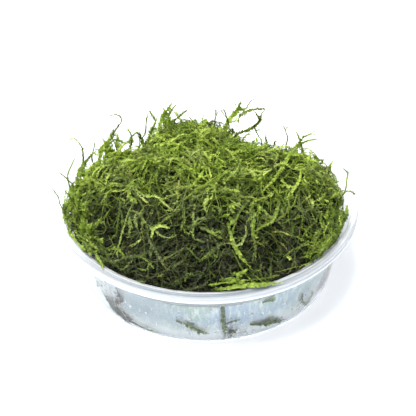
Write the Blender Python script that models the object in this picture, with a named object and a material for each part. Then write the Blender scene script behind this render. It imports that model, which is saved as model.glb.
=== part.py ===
"""A clump of water moss, heaped in a low round plastic tub.

Metres, +Z up. The tub stands on the XY plane with its axis on Z, and the side that is seen
from the front faces -Y. The moss is one tangled mat, with its stout shoots grown out of it;
a few shoots lie loose on top of it, and scraps of moss cling to the inside of the tub's wall.
"""

import math
import random

import bmesh
import bpy
from mathutils import Vector, noise
from mathutils.bvhtree import BVHTree

MM = 0.001

# Tub
RIM_RADIUS = 59.0 * MM
RIM_TOP = 32.0 * MM
RIM_MOUTH_RADIUS = 56.2 * MM
SKIRT_DEPTH = 3.3 * MM
WALL_THICKNESS = 0.75 * MM
WALL_TOP_RADIUS = 53.6 * MM
SHOULDER_HEIGHT = 26.6 * MM
SHOULDER_STEP = 0.6 * MM
BASE_RADIUS = 49.5 * MM
BASE_CORNER = 1.6 * MM
FOOT_INNER_RADIUS = 43.0 * MM
FOOT_HEIGHT = 0.7 * MM
FLOOR_TOP = 1.5 * MM
TUB_SEGMENTS = 52

# Moss mat: its outline from above, and the height of its heaped top
MAT_RADIUS = 54.3 * MM
MAT_DRAWN_IN_BEHIND = 3.0 * MM
MAT_DRAWN_IN_RIGHT = 4.0 * MM
DRAWN_IN_AZIMUTH = math.radians(55)
# Where the mat stops short of that outline: azimuth and half width in degrees, and depth in mm
MAT_NOTCHES = ((138, 14, 8.3), (71.5, 6, 3.9))
MAT_EDGE_FRONT = 32.3 * MM
MAT_EDGE_DROP_BEHIND = 3.5 * MM
DOME_HEIGHT = 12.0 * MM
DOME_POWER = 0.75
# Lumps and hollows of the heap, in mm: place (x, y), spread, and height above the dome
LUMPS = (
    (-9, 29, 13.5, 10.0),
    (-31, 20, 11, 3.0),
    (-14, -2, 15, 3.5),
    (30, 15, 12, 6.0),
    (8, 8, 12, 2.0),
    (40, -4, 11, 2.0),
    (-38, -6, 9, 2.5),
    (14, -24, 13, 2.5),
    (-22, -38, 8, 2.0),
    (-36, -26, 7, -4.5),
    (4, 33, 6, -4.0),
    (-8, -46, 8, -2.5),
    (13, -6, 6, -3.0),
    (47, 14, 6, -2.0),
    (28, -36, 7, -2.0),
)
# The wide hollows on both sides of the crest, in mm: place (x, y), spread, and depth
HOLLOWS = ((-26, 30.5, 10.4, 8.8), (24, 31, 9.2, 9.0))
# How the mat narrows below the rim, as (share of the way down, share of its radius)
MAT_UNDERSIDE = ((0.0, 1.0), (0.18, 0.93), (0.45, 0.82), (0.75, 0.7), (0.9, 0.62), (1.0, 0.5))
MAT_FOOT = FLOOR_TOP + 0.3 * MM
MAT_SUBDIVISIONS = 4
MAT_ROUGHNESS = 1.9 * MM
MAT_GRAIN = 9.0 * MM
MAT_SEED = 5

# Shoots grown out of the mat
SHOOT_COUNT = 124
SHOOT_LENGTHS = (6.5 * MM, 13.0 * MM)
SHOOT_STEPS = 4
SHOOT_RISE = 1.8 * MM
SHOOT_TRIES = 10
SHOOT_SPACING = 5.4 * MM
SHOOT_CLEARANCE = 2.1 * MM
SHOOT_HALF_WIDTH = 1.0 * MM
BED_CLEARANCE = 2.4 * MM
SHOOT_SEED = 7

# Long shoots grown out of the mat, each a route in mm and a half width in mm
STANDING_SHOOTS = (
    (((-47, 16, 33), (-48, 17.5, 40), (-49.1, 18, 44.5), (-51, 18, 46.7), (-53.4, 18, 45)), 0.6),
    (((-34.5, 26, 42), (-34.3, 27, 46.5), (-34, 27, 50), (-36, 27, 51.3), (-38.1, 27, 50)), 0.7),
    (((-16.9, 33, 43), (-15.6, 34, 49), (-13.5, 34.5, 52.5), (-11.6, 35, 52)), 1.3),
    (
        ((17.6, 29, 38), (20.7, 30, 45), (23.3, 30.5, 51.5), (19.4, 31, 51.8), (14.5, 31, 48), (12.6, 31, 44)),
        0.7,
    ),
    (((9, 38, 35), (12.3, 41, 41), (14.5, 42, 45.5), (19, 42, 48)), 1.2),
    (((36.5, 26, 36), (36, 27, 41), (34.9, 28, 43.6)), 0.6),
    (((39.5, 22, 36), (40.5, 24, 40.5), (44.6, 25, 41.5)), 0.7),
    (((51.5, 6, 31.5), (53.6, 6, 35), (53.5, 6, 38.5), (51.5, 6, 41)), 0.6),
    (((-50, 8, 33), (-51.5, 8, 37), (-54, 8.5, 39.5), (-57, 9, 40)), 0.6),
)

# Loose shoots lying on the mat, each a route seen from above in mm and a half width in mm
LYING_SHOOTS = (
    (((1, -54.2), (8, -54), (15, -52.5), (21, -50.8), (26.5, -48.2)), 1.1),
    (((8, -30), (9.6, -38), (12.4, -45), (17, -49.5)), 1.0),
    (((36, 1), (35.3, -6), (32, -14), (30.5, -21), (31, -28)), 0.9),
    (((37, 19), (33.3, 10), (29, -1), (25, -8.5), (21, -14)), 0.9),
    (((-19.5, -37), (-19.2, -34), (-16.5, -32), (-13, -32.5)), 0.9),
    (((27.5, -17), (26.5, -22.5), (23.5, -28.5), (18, -33)), 1.0),
    (((-50, -10), (-46, -14), (-40, -15), (-34, -18)), 1.0),
    (((-30, 2), (-23, -2), (-15, -3), (-8, -7)), 1.1),
)
FRESH_SHOOTS = (1, 5)
RESTING_GAP = 0.35 * MM
OVER_RIM = 3.0 * MM
LYING_HALF_THICKNESS = 0.45 * MM

# Scraps on the inside of the wall, each a route of (degrees round from the front, height in mm),
# a half width in mm, and the route of a side shoot or None
WALL_SPRIGS = (
    (((6.8, 20.7), (7.2, 15), (7.9, 9.1), (8.3, 3.4)), 0.8, ((7.8, 11.2), (11.1, 12.1), (14.9, 13))),
    (((10.2, 5.0), (11.2, 6.8), (12.6, 6.2)), 1.0, None),
    (((-12.5, 12.4), (-7.9, 10.9), (-3.7, 8.3), (1, 6.1)), 1.0, None),
    (((19.3, 8.6), (25.1, 7.2), (30.2, 6), (36.5, 4)), 1.0, ((26, 7), (30, 9.2))),
    (((-49, 11), (-45.5, 9), (-41, 6), (-37, 3.2)), 2.4, ((-43, 8), (-40.5, 12), (-36.5, 16.6))),
    (((-35, 4.2), (-28.5, 3.3), (-20.6, 3)), 0.5, None),
    (((45, 14), (46.5, 9), (50, 5.5), (53.5, 7.5), (52.5, 11)), 0.7, None),
    (((-73, 12), (-70, 7), (-66, 3.5)), 0.6, None),
    (((23.7, 19.4), (27, 19.6), (29.9, 18.6)), 0.7, None),
)
WALL_GAP = 0.35 * MM
SPRIG_HALF_THICKNESS = 0.35 * MM
LEAF_STEP = 1.7 * MM
LEAF_NOTCH = 0.28


def clear_scene():
    for obj in list(bpy.data.objects):
        bpy.data.objects.remove(obj, do_unlink=True)


def material(name, colour, roughness, alpha=1.0):
    made = bpy.data.materials.new(name)
    made.use_nodes = True
    shader = made.node_tree.nodes["Principled BSDF"]
    shader.inputs["Base Color"].default_value = (*colour, 1.0)
    shader.inputs["Roughness"].default_value = roughness
    shader.inputs["Metallic"].default_value = 0.0
    shader.inputs["Alpha"].default_value = alpha
    return made


def object_of(bm, name, look):
    """Turns a bmesh into a named object, shaded smooth apart from its sharp corners."""
    bmesh.ops.recalc_face_normals(bm, faces=bm.faces)
    mesh = bpy.data.meshes.new(name)
    bm.to_mesh(mesh)
    mesh.materials.append(look)
    mesh.shade_smooth()
    mesh.set_sharp_from_angle(angle=math.radians(40))
    made = bpy.data.objects.new(name, mesh)
    bpy.context.scene.collection.objects.link(made)
    return made


# ---------------------------------------------------------------------------- tub


def arc(centre_r, centre_z, radius, start, end, steps):
    """Points (r, z) on an arc, angles in degrees from the outward direction."""
    angles = [math.radians(start + (end - start) * k / steps) for k in range(steps + 1)]
    return [(centre_r + radius * math.cos(a), centre_z + radius * math.sin(a)) for a in angles]


def inner_wall_radius(z):
    """The radius of the wall's inside at height z, between the floor and the shoulder."""
    share = (z - BASE_CORNER) / (SHOULDER_HEIGHT - BASE_CORNER)
    return BASE_RADIUS + (WALL_TOP_RADIUS - BASE_RADIUS) * share - WALL_THICKNESS


def mouth_profile():
    """The inside's section from the rim's mouth down its funnel to the top of the plain wall."""
    bore = WALL_TOP_RADIUS + SHOULDER_STEP - WALL_THICKNESS
    return [
        (RIM_MOUTH_RADIUS, RIM_TOP - 0.3 * MM),
        (bore + WALL_THICKNESS, RIM_TOP - 1.4 * MM),
        (bore, RIM_TOP - 2.6 * MM),
        (bore, SHOULDER_HEIGHT + SHOULDER_STEP + 0.2 * MM),
        (WALL_TOP_RADIUS - WALL_THICKNESS, SHOULDER_HEIGHT - 0.2 * MM),
    ]


def open_radius(z):
    """The radius that is free inside the tub at height z."""
    section = mouth_profile()
    if z >= section[0][1]:
        return RIM_MOUTH_RADIUS
    for (wide, high), (narrow, low) in zip(section, section[1:]):
        if z >= low:
            return narrow + (wide - narrow) * (z - low) / (high - low)
    return inner_wall_radius(max(z, FLOOR_TOP))


def tub_profile():
    """The moulding's section, from under the centre, up the outside, and back over the floor."""
    lean = -math.degrees(math.atan2(WALL_TOP_RADIUS - BASE_RADIUS, SHOULDER_HEIGHT))
    skirt_low = RIM_TOP - SKIRT_DEPTH
    shoulder_radius = WALL_TOP_RADIUS + SHOULDER_STEP
    under_rim = RIM_TOP - 1.3 * MM
    foot = [
        (0.0, FOOT_HEIGHT),
        (FOOT_INNER_RADIUS, FOOT_HEIGHT),
        (FOOT_INNER_RADIUS + FOOT_HEIGHT, 0.0),
    ]
    corner = arc(BASE_RADIUS - BASE_CORNER, BASE_CORNER, BASE_CORNER, -90, lean, 3)
    outside = [
        (WALL_TOP_RADIUS, SHOULDER_HEIGHT),
        (shoulder_radius, SHOULDER_HEIGHT + SHOULDER_STEP),
        (shoulder_radius + 0.1 * MM, under_rim - 0.8 * MM),
        (shoulder_radius + 0.9 * MM, under_rim),
    ]
    skirt = [
        (RIM_RADIUS - 1.0 * MM, under_rim),
        (RIM_RADIUS - 0.75 * MM, skirt_low),
        (RIM_RADIUS - 0.2 * MM, skirt_low),
        (RIM_RADIUS, skirt_low + 0.5 * MM),
        (RIM_RADIUS - 0.1 * MM, skirt_low + 1.3 * MM),
        (RIM_RADIUS - 0.4 * MM, skirt_low + 1.6 * MM),
    ]
    top = [
        (RIM_RADIUS - 0.4 * MM, RIM_TOP - 0.6 * MM),
        (RIM_RADIUS - 0.9 * MM, RIM_TOP),
        (RIM_RADIUS - 1.3 * MM, RIM_TOP),
        (RIM_RADIUS - 1.6 * MM, RIM_TOP - 0.4 * MM),
        (RIM_RADIUS - 2.0 * MM, RIM_TOP - 0.4 * MM),
        (RIM_RADIUS - 2.2 * MM, RIM_TOP),
        (RIM_MOUTH_RADIUS + 0.2 * MM, RIM_TOP),
    ]
    floor_corner = arc(
        inner_wall_radius(FLOOR_TOP) - BASE_CORNER,
        FLOOR_TOP + BASE_CORNER,
        BASE_CORNER,
        lean,
        -90,
        2,
    )
    outer = foot + corner + outside + skirt + top
    return outer + mouth_profile() + floor_corner + [(0.0, FLOOR_TOP)]


def build_tub(look):
    bm = bmesh.new()
    verts = [bm.verts.new((r, 0.0, z)) for r, z in tub_profile()]
    edges = [bm.edges.new(pair) for pair in zip(verts, verts[1:])]
    bmesh.ops.spin(
        bm,
        geom=verts + edges,
        axis=(0, 0, 1),
        cent=(0, 0, 0),
        steps=TUB_SEGMENTS,
        angle=math.tau,
        use_merge=True,
    )
    bmesh.ops.remove_doubles(bm, verts=bm.verts, dist=0.001 * MM)
    tree = BVHTree.FromBMesh(bm)
    made = object_of(bm, "tub", look)
    bm.free()
    return made, tree


# ---------------------------------------------------------------------------- moss mat


def mat_reach(azimuth):
    """The mat's radius in one direction: it fills the mouth in front and draws in behind."""
    behind = max(math.sin(azimuth), 0.0)
    right = max(math.cos(azimuth - DRAWN_IN_AZIMUTH), 0.0)
    reach = MAT_RADIUS - MAT_DRAWN_IN_BEHIND * behind - MAT_DRAWN_IN_RIGHT * right**3
    for middle, half_width, depth in MAT_NOTCHES:
        away = ((math.degrees(azimuth) - middle + 180) % 360 - 180) / half_width
        reach -= depth * MM * math.exp(-away * away / 2)
    return reach


def mat_edge_height(azimuth):
    return MAT_EDGE_FRONT - MAT_EDGE_DROP_BEHIND * max(math.sin(azimuth), 0.0)


def heap_height(x, y):
    """The height of the mat's top over (x, y), without its shoots."""
    azimuth = math.atan2(y, x)
    share = min(math.hypot(x, y) / mat_reach(azimuth), 1.0)
    height = mat_edge_height(azimuth) + DOME_HEIGHT * (1 - share * share) ** DOME_POWER
    fade = min((1 - share) * 5, 1.0)
    for lump_x, lump_y, spread, rise in LUMPS:
        away = math.hypot(x - lump_x * MM, y - lump_y * MM) / (spread * MM)
        height += rise * MM * math.exp(-away * away / 2) * fade
    for hollow_x, hollow_y, spread, depth in HOLLOWS:
        away = math.hypot(x - hollow_x * MM, y - hollow_y * MM) / (spread * MM)
        height -= depth * MM * math.exp(-away * away / 2)
    return height


def underside(depth):
    """The mat's share of its radius at a share of the way down to its foot."""
    for (low, wide), (high, narrow) in zip(MAT_UNDERSIDE, MAT_UNDERSIDE[1:]):
        if depth <= high:
            return wide + (narrow - wide) * (depth - low) / (high - low)
    return MAT_UNDERSIDE[-1][1]


def mat_point(direction):
    """Moves a point of a unit sphere to the mat's surface."""
    azimuth = math.atan2(direction.y, direction.x)
    polar = math.acos(max(-1.0, min(1.0, direction.z))) / (math.pi / 2)
    reach = mat_reach(azimuth)
    if polar <= 1:
        x = reach * polar * math.cos(azimuth)
        y = reach * polar * math.sin(azimuth)
        return Vector((x, y, heap_height(x, y)))
    edge = heap_height(reach * math.cos(azimuth), reach * math.sin(azimuth))
    side_share = 0.7
    below = (polar - 1) / side_share
    if below <= 1:
        radius, z = reach * underside(below), edge + (MAT_FOOT - edge) * below
    else:
        radius = reach * MAT_UNDERSIDE[-1][1] * (2 - polar) / (1 - side_share)
        z = MAT_FOOT
    return Vector((radius * math.cos(azimuth), radius * math.sin(azimuth), z))


def roughened(point):
    """Gives the mat its small lumps, and keeps them clear of the tub."""
    moved = point + noise.noise_vector(point / MAT_GRAIN) * MAT_ROUGHNESS
    moved.z = MAT_FOOT if point.z < MAT_FOOT + 0.5 * MM else max(moved.z, MAT_FOOT)
    return keep_in_tub(moved, 0.0)


def keep_in_tub(point, half_width):
    """Draws a point in until a shoot of this half width clears the tub's inside or its rim."""
    radius = math.hypot(point.x, point.y)
    if point.z > RIM_TOP + OVER_RIM:
        most = RIM_RADIUS - half_width
    else:
        most = open_radius(point.z - half_width) - half_width - 2 * RESTING_GAP
    if radius <= most:
        return point
    scale = most / radius
    return Vector((point.x * scale, point.y * scale, point.z))


def grow(bm, face, route, half_widths):
    """Extrudes a face along a route, one step to each point, and leaves a small blunt tip."""
    before = face.calc_center_median()
    for target, half_width in zip(route, half_widths):
        face = bmesh.ops.extrude_discrete_faces(bm, faces=[face])["faces"][0]
        along = (target - before).normalized()
        centre = face.calc_center_median()
        for vert in face.verts:
            across = vert.co - centre
            across -= along * across.dot(along)
            vert.co = target + across.normalized() * half_width
        before = target
    return face


def tapered(half_width, steps):
    """A shoot's half width at each step: broad along its length, and small at its tip."""
    return [half_width * (1 - 0.75 * (k / (steps - 1)) ** 2.5) for k in range(steps)]


def shoot_route(rng, start, normal):
    """The bent route of one short shoot: it rises off the mat, then leans over and droops."""
    length = rng.uniform(*SHOOT_LENGTHS)
    heading = rng.uniform(0, math.tau)
    lean = Vector((math.cos(heading), math.sin(heading), rng.uniform(-0.3, 0.3)))
    droop = Vector((rng.uniform(-1, 1), rng.uniform(-1, 1), -0.8)) * 0.3
    direction = (normal + lean).normalized()
    point = start + normal * SHOOT_RISE
    route = [start + normal * 0.35 * MM, point]
    for _ in range(SHOOT_STEPS - 1):
        point = point + direction * (length / SHOOT_STEPS)
        route.append(point)
        direction = (direction + lean * 0.6 + droop).normalized()
    return route


def is_free(route, half_width, skin, taken, beds):
    """Whether a shoot on this route clears the mat's skin, the tub and the other shoots."""
    spots = route[2:] + [p.lerp(q, 0.5) for p, q in zip(route[1:], route[2:])]
    for spot in spots:
        under = skin.ray_cast(spot, Vector((0, 0, 1)))[0]
        if under or skin.find_nearest(spot)[3] < half_width + 0.3 * MM:
            return False
        if (keep_in_tub(spot, half_width) - spot).length > 0:
            return False
    plan = [spot.xy for spot in spots]
    return not near(spots, taken, SHOOT_CLEARANCE) and not near(plan, beds, BED_CLEARANCE)


def near(route, taken, distance):
    return any((point - other).length < distance for point in route for other in taken)


def lying_corridors():
    """Places along the loose shoots' beds, seen from above, which grown shoots keep off."""
    beds = []
    for route, _ in LYING_SHOOTS:
        beds += smooth_route([Vector((x * MM, y * MM)) for x, y in route], LEAF_STEP)
    return beds


def nearest_face(bm, point):
    return min(
        (face for face in bm.faces if face.normal.z > 0.2),
        key=lambda face: (face.calc_center_median() - point).length,
    )


def grow_standing_shoots(bm):
    """The long shoots that stand out of the heap; returns the points they take up."""
    taken = []
    for stops, half_width in STANDING_SHOOTS:
        route = smooth_route([Vector(stop) * MM for stop in stops], 3.2 * MM)
        face = nearest_face(bm, route[0])
        root = face.calc_center_median() + face.normal * 0.4 * MM
        rise = root + face.normal * SHOOT_RISE
        route = [root, rise] + [p for p in route if (p - root).length > 2 * SHOOT_RISE]
        grow(bm, face, route, tapered(half_width * MM, len(route)))
        taken += route + [p.lerp(q, 0.5) for p, q in zip(route, route[1:])]
    return taken


def grow_short_shoots(bm, taken):
    """Short shoots all over the heap, spaced out and clear of each other."""
    rng = random.Random(SHOOT_SEED)
    skin = BVHTree.FromBMesh(bm)
    faces = [f for f in bm.faces if len(f.verts) == 3 and f.calc_area() > 6 * MM * MM]
    faces = [f for f in faces if f.normal.z > 0.25 and f.calc_center_median().z > MAT_EDGE_FRONT - 3 * MM]
    rng.shuffle(faces)
    beds = lying_corridors()
    roots = []
    for face in faces:
        if len(roots) == SHOOT_COUNT:
            break
        start = face.calc_center_median()
        if near([start], roots, SHOOT_SPACING) or near([start.xy], beds, BED_CLEARANCE):
            continue
        tries = [shoot_route(rng, start, face.normal.copy()) for _ in range(SHOOT_TRIES)]
        free = [route for route in tries if is_free(route, SHOOT_HALF_WIDTH, skin, taken, beds)]
        if free:
            grow(bm, face, free[0], tapered(SHOOT_HALF_WIDTH, len(free[0])))
            roots.append(start)
            taken += free[0] + [p.lerp(q, 0.5) for p, q in zip(free[0][1:], free[0][2:])]


def build_mat(look):
    noise.seed_set(MAT_SEED)
    bm = bmesh.new()
    bmesh.ops.create_icosphere(bm, subdivisions=MAT_SUBDIVISIONS, radius=1.0)
    for vert in bm.verts:
        vert.co = roughened(mat_point(vert.co))
    bmesh.ops.recalc_face_normals(bm, faces=bm.faces)
    bm.normal_update()
    taken = grow_standing_shoots(bm)
    bm.normal_update()
    grow_short_shoots(bm, taken)
    tree = BVHTree.FromBMesh(bm)
    made = object_of(bm, "moss_mat", look)
    bm.free()
    return made, tree


# ---------------------------------------------------------------------------- loose shoots


def smooth_route(stops, spacing):
    """Points about spacing apart along a Catmull-Rom curve through the stops."""
    ends = [stops[0] * 2 - stops[1], *stops, stops[-1] * 2 - stops[-2]]
    dense = []
    for a, b, c, d in zip(ends, ends[1:], ends[2:], ends[3:]):
        for k in range(12):
            t = k / 12
            square = 2 * a - 5 * b + 4 * c - d
            cube = 3 * b - a - 3 * c + d
            dense.append(0.5 * (2 * b + (c - a) * t + square * t**2 + cube * t**3))
    dense.append(stops[-1])
    total = sum((q - p).length for p, q in zip(dense, dense[1:]))
    count = max(round(total / spacing), 2)
    route, walked, wanted = [dense[0]], 0.0, total / count
    for p, q in zip(dense, dense[1:]):
        length = (q - p).length
        while walked + length >= wanted - 1e-9 and len(route) < count:
            route.append(p.lerp(q, (wanted - walked) / length))
            wanted += total / count
        walked += length
    route.append(dense[-1])
    return route


def leafy_strip(bm, route, faces_of, half_width, half_thickness):
    """A flat shoot with notched edges and pointed ends, as a closed strip of diamond section.

    faces_of(k) is the direction that the flat side looks at point k.
    """
    rings = []
    last = len(route) - 1
    for k in range(1, last):
        along = (route[k + 1] - route[k - 1]).normalized()
        up = faces_of(k)
        side = along.cross(up).normalized()
        up = side.cross(along).normalized()
        notch = 1 - LEAF_NOTCH if k % 2 else 1.0
        taper = min(1.0, 0.45 + 0.35 * min(k, last - k))
        wide = side * half_width * notch * taper
        thick = up * half_thickness * taper
        corners = (wide, thick, -wide, -thick)
        rings.append([bm.verts.new(route[k] + corner) for corner in corners])
    for ring, following in zip(rings, rings[1:]):
        for j in range(4):
            bm.faces.new((ring[j], ring[j - 1], following[j - 1], following[j]))
    for ring, tip_place in ((rings[0], route[0]), (rings[-1], route[-1])):
        tip = bm.verts.new(tip_place)
        for j in range(4):
            bm.faces.new((ring[j], ring[j - 1], tip))


def top_at(trees, x, y):
    """The highest point of the bodies below a place, or the floor's top if it is clear."""
    above = Vector((x, y, 0.1))
    hits = [tree.ray_cast(above, Vector((0, 0, -1)))[0] for tree in trees]
    return max((hit.z for hit in hits if hit), default=FLOOR_TOP)


def bed_height(trees, x, y, half_width):
    """The highest point under a strip's width at one place."""
    around = [(0, 0), (1, 0), (-1, 0), (0, 1), (0, -1), (0.7, 0.7), (-0.7, 0.7), (0.7, -0.7), (-0.7, -0.7)]
    return max(top_at(trees, x + dx * half_width, y + dy * half_width) for dx, dy in around)


def draped(trees, stops, half_width):
    """Lays a route seen from above on the bodies below it, stiff enough to bridge small dips."""
    plan = smooth_route([Vector((x * MM, y * MM)) for x, y in stops], LEAF_STEP)
    beds = [bed_height(trees, p.x, p.y, half_width * 1.25) for p in plan]
    bridged = [max(beds[max(k - 1, 0) : k + 2]) for k in range(len(beds))]
    lift = LYING_HALF_THICKNESS + RESTING_GAP
    return [Vector((p.x, p.y, z + lift)) for p, z in zip(plan, bridged)]


def build_lying_shoots(trees, look, fresh):
    for number, (stops, half_width) in enumerate(LYING_SHOOTS, 1):
        route = draped(trees, stops, half_width * MM)
        bm = bmesh.new()
        leafy_strip(bm, route, lambda k: Vector((0, 0, 1)), half_width * MM, LYING_HALF_THICKNESS)
        object_of(bm, f"lying_shoot_{number}", fresh if number in FRESH_SHOOTS else look)
        bm.free()


def on_wall(degrees, height):
    """A point just clear of the wall's inside, in degrees round from the front."""
    azimuth = math.radians(degrees - 90)
    radius = inner_wall_radius(height) - WALL_GAP - SPRIG_HALF_THICKNESS - 0.25 * MM
    return Vector((radius * math.cos(azimuth), radius * math.sin(azimuth), height))


def wall_strip(name, stops, half_width, look):
    route = smooth_route([on_wall(degrees, height * MM) for degrees, height in stops], LEAF_STEP)
    route = [on_wall(math.degrees(math.atan2(p.y, p.x)) + 90, p.z) for p in route]
    bm = bmesh.new()

    def towards_wall(k):
        return Vector((route[k].x, route[k].y, 0)).normalized()

    leafy_strip(bm, route, towards_wall, half_width, SPRIG_HALF_THICKNESS)
    made = object_of(bm, name, look)
    bm.free()
    return made


def join_side_shoot(sprig, side):
    """Joins a side shoot to its stem as one solid."""
    union = sprig.modifiers.new("Side shoot", "BOOLEAN")
    union.operation = "UNION"
    union.solver = "EXACT"
    union.object = side
    side.hide_render = True
    side.display_type = "WIRE"


def build_wall_sprigs(look):
    for number, (stops, half_width, side_stops) in enumerate(WALL_SPRIGS, 1):
        name = f"wall_sprig_{number}"
        sprig = wall_strip(name, stops, half_width * MM, look)
        if side_stops:
            side = wall_strip(f"{name}_side", side_stops, half_width * 0.6 * MM, look)
            join_side_shoot(sprig, side)


def main():
    clear_scene()
    plastic = material("Translucent plastic", (0.86, 0.90, 0.92), 0.3, alpha=0.45)
    moss = material("Moss green", (0.13, 0.22, 0.035), 0.55)
    fresh = material("Fresh shoot green", (0.33, 0.46, 0.07), 0.5)
    dark = material("Wet scrap green", (0.12, 0.17, 0.07), 0.45)
    _, tub_tree = build_tub(plastic)
    _, mat_tree = build_mat(moss)
    build_lying_shoots((tub_tree, mat_tree), moss, fresh)
    build_wall_sprigs(dark)


main()
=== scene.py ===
import math

import bpy
import numpy as np
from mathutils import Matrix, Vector
from mathutils.bvhtree import BVHTree


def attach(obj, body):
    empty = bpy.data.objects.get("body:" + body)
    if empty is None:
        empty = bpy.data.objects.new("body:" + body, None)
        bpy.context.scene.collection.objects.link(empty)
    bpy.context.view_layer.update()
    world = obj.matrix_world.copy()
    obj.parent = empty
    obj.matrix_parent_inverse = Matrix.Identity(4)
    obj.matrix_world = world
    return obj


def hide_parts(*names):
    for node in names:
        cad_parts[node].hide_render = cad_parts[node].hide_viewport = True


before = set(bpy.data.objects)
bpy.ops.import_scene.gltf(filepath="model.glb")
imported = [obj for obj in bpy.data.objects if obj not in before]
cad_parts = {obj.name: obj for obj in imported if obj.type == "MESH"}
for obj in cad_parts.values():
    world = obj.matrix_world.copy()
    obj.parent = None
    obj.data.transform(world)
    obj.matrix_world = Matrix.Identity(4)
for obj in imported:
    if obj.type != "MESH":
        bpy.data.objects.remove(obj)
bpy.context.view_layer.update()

MM = 0.001

# The photograph's view: a 416-pixel frame, in metres
FRAME_SIZE = 416
CAMERA_PLACE = (0.0, -0.4977, 0.4181)
CAMERA_AIM = (0.00095, 0.0, 0.0263)
CAMERA_LENS = 141.7
SENSOR = 36.0

# The tub, as in the CAD (mm)
RIM_RADIUS = 59.0
RIM_TOP = 32.0
MOUTH_RADIUS = 56.2

# The mat's outline from above, as in the CAD (mm)
MAT_RADIUS = 54.3
DRAWN_IN_BEHIND = 3.0
DRAWN_IN_RIGHT = 4.0
DRAWN_IN_AZIMUTH = math.radians(55)

# Where it stops short of that, and where the loose strands keep back from the rim besides:
# azimuth and half width in degrees, and depth in mm
NOTCHES = ((138, 14, 8.3), (71.5, 6, 3.9))
HELD_BACK = ((172, 12, 3.2), (4, 12, 2.0))


def dents(azimuth, places):
    total = 0.0
    for middle, width, depth in places:
        away = (np.degrees(azimuth) - middle + 180) % 360 - 180
        total = total + depth * np.exp(-0.5 * (away / width) ** 2)
    return total


def reach(azimuth):
    """The mat's radius in each direction: it fills the mouth in front and draws in behind."""
    behind = np.maximum(np.sin(azimuth), 0)
    right = np.maximum(np.cos(azimuth - DRAWN_IN_AZIMUTH), 0)
    return MAT_RADIUS - DRAWN_IN_BEHIND * behind - DRAWN_IN_RIGHT * right**3 - dents(azimuth, NOTCHES)


# ------------------------------------------------------------------ the CAD mat's surface

HALF_GRID = 58  # cells of 1 mm
MAT_EDGE = 28.0


def node_tree(name):
    """The surface of a CAD node, in mm."""
    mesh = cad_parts[name].data
    verts = [v.co / MM for v in mesh.vertices]
    return BVHTree.FromPolygons(verts, [p.vertices[:] for p in mesh.polygons])


def top_at(tree, x, y, otherwise):
    hit = tree.ray_cast(Vector((x, y, 90)), Vector((0, 0, -1)))[0]
    return hit.z if hit else otherwise


def slide(grid, radius, take):
    """The least, greatest or mean value within radius cells of each cell."""
    size = 2 * radius + 1
    padded = np.pad(grid, radius, mode="edge")
    return take(np.lib.stride_tricks.sliding_window_view(padded, (size, size)), axis=(2, 3))


def surface_grid(tree):
    """Heights of the mat's top on a square grid, without the shoots grown out of it."""
    line = np.arange(-HALF_GRID, HALF_GRID + 1.0)
    grid = np.array([[top_at(tree, x, y, MAT_EDGE) for y in line] for x in line])
    return slide(slide(slide(grid, 2, np.min), 2, np.max), 1, np.mean)


GRID = surface_grid(node_tree("moss_mat"))


class Field:
    """A smooth random field over the mat, of about unit spread, from a sum of waves."""

    def __init__(self, seed, wavelength, waves=14):
        rng = np.random.default_rng(seed)
        angle = rng.uniform(0, math.tau, waves)
        wave = math.tau / (wavelength * rng.uniform(0.7, 1.5, waves))
        self.kx, self.ky = wave * np.cos(angle), wave * np.sin(angle)
        self.phase = rng.uniform(0, math.tau, waves)
        self.gain = math.sqrt(2 / waves)

    def __call__(self, x, y):
        x, y = np.asarray(x)[..., None], np.asarray(y)[..., None]
        return self.gain * np.cos(self.kx * x + self.ky * y + self.phase).sum(-1)


RELIEF = Field(21, 15.0)
FINE_RELIEF = Field(22, 7.5)
FLOW = Field(23, 38.0)
TONE = Field(24, 18.0)


def sigmoid(value):
    return 1 / (1 + np.exp(-value))


def dullness(x, y):
    """How grey-green the moss is: in the damp hollows in front, and least over the crown."""
    return np.clip(0.1 + 0.75 * sigmoid(-(y + 16 + 0.1 * x) / 8) + 0.2 * TONE(x, y), 0, 1)


# The heap of strands lies this far under the CAD mat's skin, give or take its tufts and gaps (mm)
HEAP_SINK = 1.9
TUFTS_SPREAD = 0.55
FINE_TUFTS_SPREAD = 0.8


def height(x, y):
    """The heap's height over (x, y), with its tufts and gaps; beyond its edge, the edge's."""
    relief = TUFTS_SPREAD * RELIEF(x, y) + FINE_TUFTS_SPREAD * FINE_RELIEF(x, y)
    return skin(x, y) + relief - HEAP_SINK


def skin(x, y):
    """The CAD mat's surface height over (x, y); beyond its edge, the height of the edge."""
    radius = np.hypot(x, y) + 1e-9
    inside = np.minimum(1.0, 0.94 * reach(np.arctan2(y, x)) / radius)
    u, v = (np.clip(w * inside + HALF_GRID, 0, 2 * HALF_GRID - 1.001) for w in (x, y))
    i, j = u.astype(int), v.astype(int)
    fu, fv = u - i, v - j
    low = GRID[i, j] * (1 - fu) + GRID[i + 1, j] * fu
    high = GRID[i, j + 1] * (1 - fu) + GRID[i + 1, j + 1] * fu
    return low * (1 - fv) + high * fv


def on_mat(x, y, rise):
    return np.stack([x, y, height(x, y) + rise], -1)


def unit(v):
    return v / np.maximum(np.linalg.norm(v, axis=-1, keepdims=True), 1e-9)


def surface_normal(x, y):
    step = 1.5
    slope_x = (height(x + step, y) - height(x - step, y)) / (2 * step)
    slope_y = (height(x, y + step) - height(x, y - step)) / (2 * step)
    return unit(np.stack([-slope_x, -slope_y, np.ones_like(x)], -1))


# The free radius at each height: inside the mouth below the rim's top, up to the rim above it
ROOM_HEIGHTS = (0, 2, 26, 28, 30.4, 31.8, 33.0, 36.0)
ROOM_RADII = (47, 48.4, 52.4, 53.2, 53.3, 55.6, 56.4, 60.5)


def room(z):
    return np.interp(z, ROOM_HEIGHTS, ROOM_RADII)


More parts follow.
